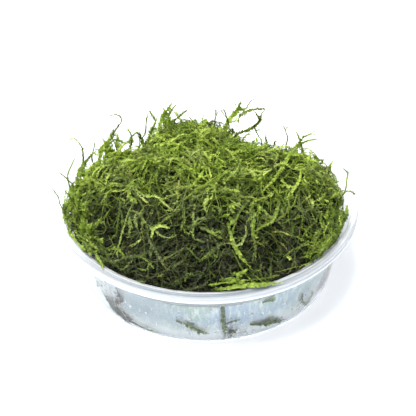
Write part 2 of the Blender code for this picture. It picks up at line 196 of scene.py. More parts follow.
def limit(points):
    """The radius within which loose strands stay."""
    azimuth = np.arctan2(points[..., 1], points[..., 0])
    return np.minimum(room(points[..., 2]), reach(azimuth) + 0.6 - dents(azimuth, HELD_BACK))


def kept_in(points):
    radius = np.linalg.norm(points[..., :2], axis=-1)
    out = points.copy()
    out[..., :2] *= np.minimum(1.0, limit(points) / np.maximum(radius, 1e-6))[..., None]
    return out


# ------------------------------------------------------------------ routes of strands

STEP = 0.9


def steps(length):
    """How many steps fit in a length in mm, or in each of many."""
    return (np.asarray(length) / STEP).astype(int)


def wander(rng, start, heading, count, curl, offset, steer=1.0, droop=0.0):
    """Routes of strands that curl as they go. All have count points, STEP apart.

    steer pulls a strand to its offset above the mat's surface; droop bends it down.
    """
    number = len(start)
    curl, rise = np.full(number, curl)[:, None], np.full(number, offset)
    point, direction = start.copy(), unit(heading)
    bend = rng.normal(0, 1, (number, 3)) * curl
    routes = [point]
    for _ in range(count - 1):
        bend = 0.86 * bend + 0.5 * rng.normal(0, 1, (number, 3)) * curl
        rise = rise + rng.normal(0, 0.28, number)
        wanted = height(point[:, 0], point[:, 1]) + rise
        error = np.clip((wanted - point[:, 2]) * 0.25, -0.6, 0.6)
        turn = np.cross(bend, direction)
        turn[:, 2] += (error - 0.5 * direction[:, 2]) * steer - droop
        radius = np.linalg.norm(point[:, :2], axis=1)
        outside = np.clip(radius - limit(point) + 2.0, 0, 2)
        turn[:, :2] -= point[:, :2] / np.maximum(radius, 1)[:, None] * outside[:, None] * 0.25
        direction = unit(direction + turn * STEP)
        point = point + direction * STEP
        routes.append(point)
    return kept_in(np.stack(routes, 1))


def rising(rng, start, heading, count, curl):
    """Routes of strands that stand free of the heap and curl a little."""
    point, direction = start.copy(), unit(heading)
    bend = rng.normal(0, 1, start.shape) * curl[:, None]
    routes = [point]
    for _ in range(count - 1):
        bend = 0.86 * bend + 0.5 * rng.normal(0, 1, start.shape) * curl[:, None]
        direction = unit(direction + np.cross(bend, direction) * STEP)
        point = point + direction * STEP
        routes.append(point)
    return np.stack(routes, 1)


def branches(rng, routes, lengths, *span):
    """The start and heading of a side shoot on each of the given routes."""
    number, count, _ = routes.shape
    rows = np.arange(number)
    at = 1 + (rng.random(number) * np.maximum(lengths - 2, 1) * 0.95).astype(int)
    at = np.minimum(at, count - 2)
    along = unit(routes[rows, at + 1] - routes[rows, at - 1])
    side = unit(np.cross(along, rng.normal(0, 0.5, along.shape) + np.array([0, 0, 1.0])))
    side *= rng.choice([-1, 1], number)[:, None]
    angle = np.radians(rng.uniform(*span, number))[:, None]
    return routes[rows, at], along * np.cos(angle) + side * np.sin(angle)


# ------------------------------------------------------------------ meshes


def linked(name, mesh, material):
    mesh.materials.append(material)
    made = bpy.data.objects.new(name, mesh)
    bpy.context.scene.collection.objects.link(made)
    return made


def solid(name, points, faces, material):
    """A smooth object from points in mm and faces."""
    mesh = bpy.data.meshes.new(name)
    mesh.from_pydata((np.array(points) * MM).tolist(), [], faces)
    mesh.shade_smooth()
    return linked(name, mesh, material)


def around(segments):
    return [(j, (j + 1) % segments) for j in range(segments)]


def bands(rings, segments, first=0, loop=False):
    """Faces between neighbouring rings of points, and from the last to the first in a loop."""
    faces = []
    for k in range(rings - (not loop)):
        a, b = first + k * segments, first + (k + 1) % rings * segments
        faces += [(a + j, b + j, b + n, a + n) for j, n in around(segments)]
    return faces


def lofted(name, rings, poles, material):
    """A closed body through rings of points between two poles, or round a loop with none."""
    count, segments = len(rings), len(rings[0])
    faces = bands(count, segments, loop=not poles)
    if poles:
        over, low = count * segments, (count - 1) * segments
        for j, n in around(segments):
            faces += [(over, j, n), (over + 1, low + n, low + j)]
    return solid(name, [*np.concatenate(rings), *poles], faces, material)


LEAF_FACES = ((0, 3, 1), (1, 3, 2), (0, 1, 2), (0, 2, 3))


class Tangle:
    """Gathers strands and leaves, and turns them into one mesh.

    Each point has a shade: its tone, place along the strand, dryness and dullness.
    """

    def __init__(self, dull=1.0):
        self.points, self.triangles, self.smooth, self.shades = [], [], [], []
        self.total = 0
        self.dull = dull

    def add(self, points, triangles, smooth, shade):
        self.triangles.append(triangles + self.total)
        self.points.append(points)
        self.smooth.append(np.full(len(triangles), smooth))
        self.shades.append(shade)
        self.total += len(points)

    def dull_at(self, points):
        return self.dull * dullness(points[..., 0], points[..., 1])

    def strands(self, rng, routes, lengths, radius, tint, leaf, leaf_step, kind=0.0, facing=None, taper=0.65):
        """Adds strands with leaves along padded routes.

        lengths: points used of each route; radius, tint, leaf (length): one value for each.
        kind: how dry each is. facing: where each strand's flat side looks, or upwards.
        taper: how much thinner a strand gets to its tip.
        """
        number, count, _ = routes.shape
        kind = np.full(number, kind)
        index = np.arange(count)[None, :]
        lengths = np.clip(lengths, 3, count)
        used = index < lengths[:, None]
        ahead = routes[:, np.minimum(np.arange(count) + 1, count - 1)]
        behind = routes[:, np.maximum(np.arange(count) - 1, 0)]
        last = lengths - 1
        rows = np.arange(number)
        ahead[rows, last] = routes[rows, last]
        along = unit(ahead - behind)
        up = np.zeros_like(routes)
        current = unit(rng.normal(0, 0.45, (number, 3)) + np.array([0, 0, 1.0]))
        twist = rng.normal(0, 0.05, number)[:, None]
        if facing is not None:
            current, twist = unit(facing), twist * 0
        for k in range(count):
            t = along[:, k]
            current = unit(current - t * np.sum(current * t, -1, keepdims=True))
            current = current * np.cos(twist) + np.cross(t, current) * np.sin(twist)
            up[:, k] = current
        side = np.cross(along, up)
        share = index / np.maximum(last, 1)[:, None]
        wide = radius[:, None] * (1 - taper * share**1.5)
        wide = np.where(index == last[:, None], radius[:, None] * 0.15, wide)[..., None]
        turns = [math.tau * corner / 3 for corner in range(3)]
        ring = np.stack([routes + (side * math.cos(a) + up * math.sin(a)) * wide for a in turns], 2)
        place = np.full((number, count), -1)
        place[used] = np.arange(used.sum())
        joined = used[:, :-1] & used[:, 1:]
        a, b = place[:, :-1][joined] * 3, place[:, 1:][joined] * 3
        first, end = place[:, 0] * 3, place[rows, last] * 3
        triangles = [(first + 2, first + 1, first), (end, end + 1, end + 2)]
        for here, there in around(3):
            triangles += [(a + here, a + there, b + there), (a + here, b + there, b + here)]
        triangles = np.concatenate([np.stack(corners, 1) for corners in triangles])
        shade = np.broadcast_arrays(tint[:, None], share, kind[:, None], self.dull_at(routes))
        shade = np.repeat(np.stack(shade, -1)[used], 3, 0)
        self.add(ring[used].reshape(-1, 3), triangles, True, shade)
        self.leaves(rng, routes, (along, up, side), lengths, tint, leaf, leaf_step, kind)

    def leaves(self, rng, routes, axes, lengths, tint, leaf, leaf_step, kind):
        """Two ranks of small pointed leaves along each strand, smaller at its tip."""
        number, count, _ = routes.shape
        per = int((count - 1) * STEP / leaf_step)
        where = (np.arange(per)[None, :] + rng.uniform(-0.3, 0.3, (number, per))) * leaf_step / STEP
        where = where.reshape(-1) + 0.4
        owner, flip = np.repeat(np.arange(number), per), np.tile(np.arange(per), number)
        keep = (where < lengths[owner] - 1.02) & (where > 0) & (leaf[owner] > 0)
        owner, where, flip = owner[keep], where[keep], flip[keep]
        total = len(owner)
        low = where.astype(int)
        part = (where - low)[:, None]
        base = routes[owner, low] * (1 - part) + routes[owner, low + 1] * part
        t, u, s = (axis[owner, low] for axis in axes)
        s = s * np.where(flip % 2, 1.0, -1.0)[:, None]
        share = where / np.maximum(lengths[owner] - 1, 1)
        size = leaf[owner] * (0.72 + 0.5 * np.sin(np.pi * np.clip(share, 0.08, 0.92)))
        size *= rng.uniform(0.7, 1.2, total) * (1 - 0.45 * np.clip((share - 0.75) / 0.25, 0, 1))
        size = size[:, None]
        angle = np.radians(rng.uniform(18, 44, total))[:, None]
        lift = rng.normal(0.08, 0.3, total)[:, None]
        out = unit(t * np.cos(angle) + s * np.sin(angle) + u * lift)
        across = unit(np.cross(out, u))
        top = unit(np.cross(across, out))
        tip = base + out * size + top * size * rng.uniform(-0.15, 0.1, (total, 1))
        middle = base + out * size * 0.42 + top * size * 0.09
        half = across * size * rng.uniform(0.2, 0.3, (total, 1))
        tone = tint[owner] + rng.normal(0, 0.08, total) + 0.03
        shade = (tone, share, kind[owner], self.dull_at(base))
        self.add_leaves([base, middle + half, tip, middle - half], shade, tip_share=0.1)

    def add_leaves(self, corners, shade, tip_share=0.0):
        """Adds folded leaves, each from its base, left, tip and right corners."""
        first = np.arange(len(corners[0])) * 4
        triangles = np.concatenate([np.stack([first + i for i in face], 1) for face in LEAF_FACES])
        shade = np.stack(shade, -1)[:, None].repeat(4, 1)
        shade[:, 2, 1] += tip_share
        self.add(np.stack(corners, 1).reshape(-1, 3), triangles, False, shade.reshape(-1, 4))

    def object(self, name, material):
        points = np.concatenate(self.points) * MM
        triangles = np.concatenate(self.triangles)
        mesh = bpy.data.meshes.new(name)
        mesh.vertices.add(len(points))
        mesh.vertices.foreach_set("co", points.astype(np.float32).ravel())
        mesh.loops.add(triangles.size)
        mesh.loops.foreach_set("vertex_index", triangles.astype(np.int32).ravel())
        mesh.polygons.add(len(triangles))
        mesh.polygons.foreach_set("loop_start", np.arange(0, triangles.size, 3, dtype=np.int32))
        mesh.polygons.foreach_set("use_smooth", np.concatenate(self.smooth))
        mesh.update(calc_edges=True)
        shade = mesh.attributes.new("shade", "FLOAT_COLOR", "POINT")
        shade.data.foreach_set("color", np.concatenate(self.shades).astype(np.float32).ravel())
        return linked(name, mesh, material)


# ------------------------------------------------------------------ materials


class Paint:
    """A material in the making. A value is a number, a colour or another node's output."""

    def __init__(self, name):
        self.material = bpy.data.materials.new(name)
        self.material.use_nodes = True
        self.tree = self.material.node_tree
        self.shader = self.tree.nodes["Principled BSDF"]
        self.place = self.node("TexCoord").outputs["Object"]

    def node(self, kind, inputs=None, **settings):
        made = self.tree.nodes.new("ShaderNode" + kind)
        for name, value in settings.items():
            setattr(made, name, value)
        self.fill(made, inputs or {})
        return made

    def fill(self, node, inputs):
        for name, value in inputs.items():
            socket = node.inputs[name]
            if isinstance(value, bpy.types.NodeSocket):
                self.tree.links.new(value, socket)
            else:
                socket.default_value = (*value, 1) if socket.type == "RGBA" else value

    def set(self, **inputs):
        """Fills the shader's sockets, with _ for each space in their names."""
        self.fill(self.shader, {name.replace("_", " "): value for name, value in inputs.items()})

    def axes(self):
        return self.node("SeparateXYZ", {"Vector": self.place}).outputs

    def calc(self, operation, *values):
        return self.node("Math", dict(enumerate(values)), operation=operation).outputs[0]

    def times(self, first, *others):
        for value in others:
            first = self.calc("MULTIPLY", first, value)
        return first

    def blend(self, factor, first, second, kind="RGBA"):
        inputs = {"Factor": factor, "A": first, "B": second}
        return self.node("Mix", inputs, data_type=kind).outputs["Result"]

    def step(self, value, low, high, start=0.0, end=1.0):
        """Runs from start to end as value goes from low to high."""
        inputs = {"Value": value, "From Min": low, "From Max": high, "To Min": start, "To Max": end}
        return self.node("MapRange", inputs).outputs["Result"]

    def noise(self, scale, detail, place=None):
        inputs = {"Vector": place or self.place, "Scale": scale, "Detail": detail}
        return self.node("TexNoise", inputs).outputs["Fac"]

    def specks(self, scale):
        return self.node("TexVoronoi", {"Vector": self.place, "Scale": scale}).outputs["Distance"]

    def ramp(self, value, colours):
        made = self.node("ValToRGB", {"Fac": value})
        elements = made.color_ramp.elements
        while len(elements) < len(colours):
            elements.new(0.5)
        for element, (position, colour) in zip(elements, colours):
            element.position = position
            element.color = (*colour, 1)
        return made.outputs["Color"]

    def bump(self, height, distance, strength=1.0):
        made = self.node("Bump", {"Height": height, "Distance": distance, "Strength": strength})
        self.set(Normal=made.outputs["Normal"])

    def see_through(self, share, colour):
        """Lets a share of the light through, scattered."""
        through = self.node("BsdfTranslucent", {"Color": colour}).outputs["BSDF"]
        both = self.node("MixShader", {0: share, 1: self.shader.outputs["BSDF"], 2: through})
        self.fill(self.tree.nodes["Material Output"], {"Surface": both.outputs["Shader"]})


MOSS_COLOURS = (
    (0.0, (0.009, 0.013, 0.004)),
    (0.25, (0.036, 0.048, 0.012)),
    (0.5, (0.120, 0.190, 0.022)),
    (0.75, (0.340, 0.480, 0.055)),
    (1.0, (0.620, 0.740, 0.160)),
)
DULL_COLOURS = (
    (0.0, (0.010, 0.012, 0.008)),
    (0.25, (0.034, 0.041, 0.021)),
    (0.5, (0.088, 0.112, 0.038)),
    (0.75, (0.175, 0.235, 0.064)),
    (1.0, (0.400, 0.470, 0.150)),
)
DRY_COLOURS = ((0.0, (0.045, 0.038, 0.012)), (1.0, (0.54, 0.52, 0.15)))

# The scraps on the wall, slate-coloured where they are sodden
WET_COLOURS = (
    (0.0, (0.008, 0.016, 0.022)),
    (0.25, (0.022, 0.042, 0.052)),
    (0.5, (0.070, 0.115, 0.095)),
    (1.0, (0.300, 0.380, 0.200)),
)

# The rim from its skirt's foot to its top, with a bluish band
SKIRT_COLOURS = (
    (0.0, (0.84, 0.87, 0.89)),
    (0.22, (0.84, 0.87, 0.89)),
    (0.3, (0.58, 0.62, 0.68)),
    (0.62, (0.58, 0.62, 0.68)),
    (0.7, (0.62, 0.64, 0.66)),
    (0.95, (0.41, 0.42, 0.435)),
)


def moss_material(name, roughness, shine, dull_colours=DULL_COLOURS):
    """Leafy moss: a colour for each shoot, lighter to its tip, mottled, and partly see-through."""
    paint = Paint(name)
    shade = paint.node("Attribute", attribute_name="shade").outputs
    tint, along, dryness = paint.node("SeparateColor", {"Color": shade["Color"]}).outputs
    mottled = paint.calc("MULTIPLY_ADD", paint.noise(160, 3), 0.34, -0.17)
    tone = paint.calc("ADD", tint, paint.calc("MULTIPLY_ADD", along, 0.16, mottled))
    living = paint.blend(shade["Alpha"], paint.ramp(tone, MOSS_COLOURS), paint.ramp(tone, dull_colours))
    colour = paint.blend(dryness, living, paint.ramp(tone, DRY_COLOURS))
    paint.set(Base_Color=colour, Roughness=roughness, Specular_IOR_Level=shine)
    paint.see_through(0.38, colour)
    return paint.material


def bed_material():
    """The dark damp inside of the tangle, seen only through its gaps: its near-black colour is painted shade
    of the deep gaps.
    """
    paint = Paint("Dark inner moss")
    fibres = paint.noise(420, 5)
    tones = paint.ramp(fibres, ((0.4, (0.004, 0.005, 0.003)), (0.7, (0.018, 0.024, 0.005))))
    paint.set(Base_Color=tones, Roughness=0.7, Specular_IOR_Level=0.08)
    paint.bump(fibres, 0.0015)
    return paint.material


def tub_material():
    """Translucent plastic: milky at the rim, nearly clear, scratched and damp on the wall."""
    paint = Paint("Hazy tub plastic")
    calc, times, step, blend = paint.calc, paint.times, paint.step, paint.blend
    x, y, z = paint.axes()
    out = calc("SQRT", calc("MULTIPLY_ADD", x, x, times(y, y)))
    haze = paint.noise(90, 4)

    # Behind and at the sides, the rim is more see-through and painted whiter: painted light, as if lit
    # through from behind
    aside = calc("ABSOLUTE", x)
    behind = step(calc("MULTIPLY_ADD", aside, 0.35, y), -0.025, 0.014)

    # The wall: nearly clear, with a painted shadow of the rim just under it in front
    rim_shadow = times(step(z, 0.0221, 0.0225, 0, 0.9), step(z, 0.0236, 0.0240, 1, 0))
    rim_shadow = times(rim_shadow, step(behind, 0, 1, 1, 0))
    wall = blend(rim_shadow, (0.93, 0.965, 0.985), (0.36, 0.42, 0.44))

    # The rim: a whiter skirt with a bluish band, and painted shade in the groove in its top, strongest in
    # front
    skirt = paint.ramp(step(z, 0.0287, 0.0320), SKIRT_COLOURS)
    groove_shade = times(step(out, 0.05687, 0.05708), step(out, 0.05846, 0.05864, 1, 0))
    groove_shade = times(groove_shade, step(z, 0.0308, 0.0312), step(aside, 0.022, 0.046, 1, 0.35))
    rim = blend(groove_shade, skirt, (0.22, 0.255, 0.285))
    # Painted light: the rim is whiter behind and at the sides
    rim = blend(times(behind, step(out, 0.0578, 0.0586, 0.8, 0.3)), rim, (0.84, 0.87, 0.90))
    rim_share = step(z, 0.0262, 0.0284)
    # Painted light: a faint glow on the far rim's inner face, as if lit through from behind
    painted_glow = times(behind, step(out, 0.0560, 0.0564, 0.4, 0), rim_share)

    clear_wall = times(step(haze, 0.4, 0.6, 0.99, 0.95), step(z, 0.001, 0.003, 0.7, 1))
    clear_wall = times(clear_wall, step(rim_shadow, 0, 1, 1, 0.55))
    clearness = blend(rim_share, clear_wall, step(behind, 0, 1, 0.22, 0.35), "FLOAT")
    paint.set(Base_Color=blend(rim_share, wall, rim), IOR=1.28, Transmission_Weight=clearness)
    paint.set(Roughness=step(haze, 0.35, 0.65, 0.02, 0.12))
    paint.set(Emission_Strength=painted_glow, Emission_Color=(0.98, 0.99, 1.0))

    # Damp specks and scratches
    domes = step(paint.specks(620), 0.15, 0.4, 1, 0)
    damp = calc("SUBTRACT", step(haze, 0.54, 0.62), rim_share)
    relief = calc("MAXIMUM", times(domes, damp), 0)
    paint.bump(calc("MULTIPLY_ADD", haze, 0.5, relief), 0.0003, 0.25)
    return paint.material


def film_material():
    """The haze of fine droplets inside the wall, streaked; its bluish and greenish grey is the haze's own
    grey and painted shade of the tub's inside, and its white low down and at the back is painted light.
    """
    paint = Paint("Hazy film")
    times, step, blend = paint.times, paint.step, paint.blend
    x, y, z = paint.axes()
    haze = paint.noise(90, 4)
    stain = step(paint.noise(55, 3), 0.42, 0.58)
    tones = blend(stain, (0.46, 0.58, 0.50), (0.46, 0.57, 0.68))
    tall = paint.node("Mapping", {"Vector": paint.place, "Scale": (1, 1, 0.28), "Rotation": (0.3, 0.25, 0)})
    streaks = step(paint.noise(700, 3, tall.outputs["Vector"]), 0.48, 0.66, 0, 0.8)
    tones = blend(streaks, tones, (0.88, 0.93, 0.90))
    # Painted light: white low down, where the floor's light comes through the wall
    low = step(paint.calc("MULTIPLY_ADD", haze, 0.008, z), 0.009, 0.015, 1, 0)
    tones = blend(low, tones, (0.95, 0.96, 0.95))
    shaded = times(step(x, -0.048, -0.034, 0.25, 0.9), step(x, -0.022, -0.004, 1, 0))
    tones = blend(times(shaded, step(low, 0, 1, 1, 0.3)), tones, (0.34, 0.42, 0.47))
    white = times(step(paint.specks(1000), 0.12, 0.24, 1, 0), step(haze, 0.48, 0.56))
    tones = blend(white, tones, (1.0, 1.0, 1.0))
    # Painted light: whiter at the back, as if lit through the wall from behind
    tones = blend(step(y, -0.01, 0.03, 0, 0.5), tones, (0.95, 0.96, 0.97))
    paint.set(Base_Color=tones, Roughness=0.6)
    paint.see_through(step(y, -0.01, 0.03, 0.18, 0.6), tones)
    return paint.material


def water_material():
    paint = Paint("Water")
    tones = paint.ramp(paint.noise(900, 2), ((0.3, (0.86, 0.92, 0.95)), (0.6, (0.99, 1.0, 1.0))))
    paint.set(Base_Color=tones, Roughness=0.04, IOR=1.33, Transmission_Weight=0.8)
    return paint.material


# ------------------------------------------------------------------ the tub

# The moulding's section, from under the centre, up the outside, and back over the floor:
# radius, height and the corner's rounding in mm
TUB_SECTION = (
    (0.0, 0.7, 0), (42.8, 0.7, 0.3), (43.7, 0.0, 0.3), (48.1, 0.0, 1.5), (49.75, 1.9, 1.2),
    (52.95, 22.4, 0.1), (53.2, 22.7, 0.1), (53.7, 26.6, 0.15), (54.2, 27.2, 0.15), (54.3, 29.9, 0.4),
    (55.1, 30.7, 0.4), (58.0, 30.7, 0.3), (58.25, 28.7, 0.25), (58.8, 28.7, 0.25), (RIM_RADIUS, 29.2, 0.2),
    (58.9, 30.0, 0.15), (58.6, 30.3, 0.1), (58.75, 31.6, 0.2), (58.55, 31.9, 0.1), (58.4, 31.85, 0.1),
    (58.25, 31.6, 0.1), (57.3, 31.6, 0.2), (56.9, RIM_TOP, 0.15), (56.3, RIM_TOP, 0.2),
    (MOUTH_RADIUS, 31.7, 0.2), (54.2, 30.6, 0.4), (53.45, 29.4, 0.4), (53.45, 27.4, 0.15),
    (52.85, 26.4, 0.15), (48.8, 2.6, 0.8), (47.6, 1.5, 0.8), (0.0, 1.5, 0),
)
TUB_SEGMENTS = 180

# The wall's inside: the heights of its foot and top, and its radii there
INNER_WALL = ((2.6, 26.4), (48.8, 52.85))

# The film of fine droplets over the wall's inside and its scraps: a ring's section in mm
FILM_SECTION = ((47.55, 1.8), (50.63, 20.3), (50.53, 20.3), (47.45, 1.8))


def rounded(corners):
    """Rounds each corner (r, z, radius) of a section; radius 0 keeps it sharp."""
    out = []
    for k, (r, z, bend) in enumerate(corners):
        here = np.array([r, z], float)
        if bend == 0:
            out.append(here)
            continue
        ways = [np.array(corners[k + side][:2]) - here for side in (-1, 1)]
        spans = [np.linalg.norm(way) for way in ways]
        cut = min(bend, *(span * 0.48 for span in spans))
        start, end = (here + way / span * cut for way, span in zip(ways, spans))
        out += [(1 - t) ** 2 * start + 2 * t * (1 - t) * here + t * t * end for t in (0, 1 / 3, 2 / 3, 1)]
    return out


def turned(name, section, material):
    """A body of revolution, from a section that starts and ends on the axis or is a ring's."""
    section = np.array(section)[::-1]
    angles = np.arange(TUB_SEGMENTS) * math.tau / TUB_SEGMENTS
    circle = np.stack([np.cos(angles), np.sin(angles), angles * 0], -1)
    rings = [circle * r + (0, 0, z) for r, z in section if r]
    poles = [(0, 0, z) for r, z in section if not r]
    made = lofted(name, rings, poles, material)
    made.data.set_sharp_from_angle(angle=math.radians(50))
    return made


# ------------------------------------------------------------------ the dark inside of the tangle

BED_SEGMENTS = 140
BED_TOP_RINGS = 44
BED_FOOT = 2.4
BED_DEPTH = 3.2

# The bed's sides: how far down each ring is, and how wide
BED_SIDE = ((0.12, 0.94), (0.3, 0.88), (0.5, 0.8), (0.75, 0.7), (0.9, 0.62), (0.97, 0.55))


def build_bed(material):
    """A lumpy closed body inside the tangle: the CAD mat drawn in a little."""
    angles = np.arange(BED_SEGMENTS) * math.tau / BED_SEGMENTS
    wide = reach(angles) * 0.96
    x, y = wide * np.cos(angles), wide * np.sin(angles)
    rings = []
    for k in range(1, BED_TOP_RINGS + 1):
        u, v = x * k / BED_TOP_RINGS, y * k / BED_TOP_RINGS
        lumps = 0.8 * np.sin(u * 0.9 + 3 * np.sin(v * 0.55)) * np.cos(v * 0.8 + 2 * np.sin(u * 0.4))
        rings.append(on_mat(u, v, -BED_DEPTH - lumps))
    edge = rings[-1][:, 2]
    for low, narrow in BED_SIDE:
        rings.append(np.stack([x * narrow, y * narrow, edge + (BED_FOOT - edge) * low], -1))
    middle = float(height(np.array(0.0), np.array(0.0))) - BED_DEPTH
    return lofted("moss_bed", rings, [(0, 0, middle), (0, 0, BED_FOOT)], material)


# ------------------------------------------------------------------ layers of the tangle


def scattered(rng, number, chance=None):
    """Places spread over the mat seen from above, kept by a chance that varies with the place."""
    x, y = np.empty(0), np.empty(0)
    while len(x) < number:
        azimuth = rng.uniform(0, math.tau, number)
        radius = np.sqrt(rng.random(number)) * reach(azimuth) * 1.01
        new_x, new_y = radius * np.cos(azimuth), radius * np.sin(azimuth)
        kept = rng.random(number) < (chance(new_x, new_y) if chance else 1)
        x, y = np.append(x, new_x[kept]), np.append(y, new_y[kept])
    return x[:number], y[:number]


# Painted shade in the hollows, and painted light on one place of the heap: middle in mm, spread in square mm,
# and gain
LIT_SPOTS = (
    (-38, -28, 130, -0.4), (-8, 24, 80, -0.4), (-34, 0, 170, -0.6), (32, 6, 150, -0.25), (-9, -14, 170, 0.35),
)


def lit(x, y):
    """Where fresh bright shoots lie thickest, over the crown and along the sides; it also paints light and
    shade into their tones: painted light over the crown, painted shade in front, on the right and in the
    hollows, and darker at the back.
    """
    edge = np.clip((np.hypot(x, y) - 42) / 8, 0, 1) * np.clip((y + 42) / 30, 0, 1)
    left = np.clip((-x - 20) / 20, 0, 1) * np.clip((y + 20) / 15, 0, 1)
    gain = 0.1 + 1.08 * sigmoid((y + 14 + 0.1 * x) / 9) + 0.35 * edge + 0.12 * left
    gain = gain - 0.35 * np.clip((x - 22) / 20, 0, 1) - 0.45 * sigmoid((y - 22) / 5)
    for at_x, at_y, spread, more in LIT_SPOTS:
        gain = gain + more * np.exp(-((x - at_x) ** 2 + (y - at_y) ** 2) / spread)
    return np.clip(gain + 0.22 * TONE(x, y), 0.03, 1.2)


def crown(x, y):
    """Over the heap's crown, where fresh shoots lie thickest."""
    return sigmoid((y + 2 + 0.1 * x) / 7) * (0.4 + 0.6 * np.clip((30 - x) / 30, 0, 1))


def fringe(x, y):
    """Along the mat's edge, at the back and the sides."""
    return (np.hypot(x, y) > reach(np.arctan2(y, x)) - 9) * np.clip(0.55 + y / 60, 0.1, 1)


def dressed(tangle, rng, routes, lengths, looks, tone=0.0, dry=None, facing=None):
    """Adds strands, and returns their tones, drynesses and leaf lengths.

    looks: tone and its spread, ranges of radius and leaf length in mm, and the leaves' step.
    dry: the share of dry strands, and how dry they are, from and to.
    """
    number = len(routes)
    tint, radius, leaf, leaf_step = looks
    tints = rng.normal(*tint, number) + tone
    kinds = (rng.random(number) < dry[0]) * rng.uniform(*dry[1:], number) if dry else np.zeros(number)
    leaves = rng.uniform(*leaf, number)
    radii = rng.uniform(*radius, number)
    tangle.strands(rng, routes, lengths, radii, tints, leaves, leaf_step, kinds, facing)
    return tints, kinds, leaves


SIDE_SHOOT_STEPS = 10


def layer(tangle, rng, number, offset, longest, looks, curl, spread, chance=None, dry=0.0):
    """Lying strands, each with a side shoot, whose headings neighbours partly share."""
    x, y = scattered(rng, number, chance)
    rise = rng.uniform(*offset, number)
    angle = 2.2 * FLOW(x, y) + rng.normal(0, spread, number) + np.pi * rng.integers(0, 2, number)
    heading = np.stack([np.cos(angle), np.sin(angle), rng.normal(0, 0.2, number)], -1)
    lengths = steps(rng.uniform(*longest, number))
    bend = rng.uniform(*curl, number)
    routes = wander(rng, on_mat(x, y, rise), heading, steps(longest[1]) + 1, bend, rise)
    # The tone takes painted light and shade from lit
    tone = 0.04 * TONE(x, y) + 0.28 * (lit(x, y) - 0.6)
    tints, kinds, leaves = dressed(tangle, rng, routes, lengths, looks, tone, (dry, 0.2, 0.75))
    start, heading = branches(rng, routes, lengths, 22, 60)
    routes = wander(rng, start, heading, SIDE_SHOOT_STEPS, bend * 1.3, rise + 0.5, steer=0.4)
    lengths = rng.integers(4, SIDE_SHOOT_STEPS + 1, number)
    tints = tints + rng.normal(0.04, 0.05, number)
    radius = rng.uniform(*looks[1], number) * 0.75
    tangle.strands(rng, routes, lengths, radius, tints, leaves * 0.9, looks[3], kinds)


def uprights(tangle, rng, number, longest, looks, chance):
    """Short shoots that stand and lean out of the heap."""
    x, y = scattered(rng, number, chance)
    heading = surface_normal(x, y) * 0.9 + rng.normal(0, 0.7, (number, 3)) * np.array([1, 1, 0.4])
    lengths = steps(rng.uniform(*longest, number))
    bend = rng.uniform(0.05, 0.2, number)
    start = on_mat(x, y, -1.0)
    routes = wander(rng, start, heading, steps(longest[1]) + 1, bend, 2.0, steer=0.12, droop=0.015)
    # The tones take painted light and shade from lit
    dressed(tangle, rng, routes, lengths, looks, 0.12 * (lit(x, y) - 0.6), (0.04, 0.4, 0.9))


def scattered_leaves(tangle, rng, number, offset, leaf, tint):
    """Single leaves at all angles, close over the dark inside."""
    x, y = scattered(rng, number)
    base = on_mat(x, y, rng.uniform(*offset, number))
    up = unit(surface_normal(x, y) + rng.normal(0, 0.45, (number, 3)))
    out = unit(np.cross(up, rng.normal(0, 1, (number, 3))))
    size = rng.uniform(*leaf, number)[:, None]
    middle = base + out * size * 0.45 + up * size * 0.12
    half = np.cross(out, up) * size * rng.uniform(0.16, 0.3, (number, 1))
    corners = kept_in(np.stack([base, middle + half, base + out * size, middle - half]))
    # The tone takes painted light and shade from lit
    tone = rng.normal(*tint, number) + 0.32 * (lit(x, y) - 0.55)
    shade = (tone, rng.random(number), (rng.random(number) < 0.03) * 0.6, tangle.dull_at(base))
    tangle.add_leaves(corners, shade)


def edge_strands(tangle, rng, number, longest, looks):
    """Fresh strands that lie along the rim's inner edge, left and right."""
    at_left = rng.random(number) < 0.45
    azimuth = np.radians(np.where(at_left, rng.uniform(190, 224, number), rng.uniform(316, 348, number)))
    out = rng.uniform(51.5, 55.8, number)
    heading = rng.normal(0, 0.45, number) + np.pi * rng.integers(0, 2, number)
    rise = rng.uniform(0.2, 2.4, number)
    bend = rng.normal(0, 0.08, number)
    routes = []
    for _ in range(steps(longest[1]) + 1):
        x, y = out * np.cos(azimuth), out * np.sin(azimuth)
        routes.append(np.stack([x, y, np.maximum(height(x, y) + rise, RIM_TOP + 0.6)], -1))
        bend = 0.9 * bend + rng.normal(0, 0.06, number)
        heading = heading + bend * STEP
        azimuth = azimuth + np.cos(heading) * STEP / out
        out = np.clip(out + np.sin(heading) * STEP, 48, 55.6 - dents(azimuth, HELD_BACK))
        rise = np.clip(rise + rng.normal(0, 0.2, number), 0, 2.6)
    dressed(tangle, rng, np.stack(routes, 1), steps(rng.uniform(*longest, number)), looks)


# The mat's side below the rim: how wide it is at each depth, and its top and foot in mm
SIDE_SHAPE = ((0.0, 0.12, 0.3, 0.5, 0.75, 0.9, 1.0), (1.0, 0.94, 0.88, 0.8, 0.7, 0.62, 0.55))
SIDE_TOP = 27.0
SIDE_FOOT = 3.5


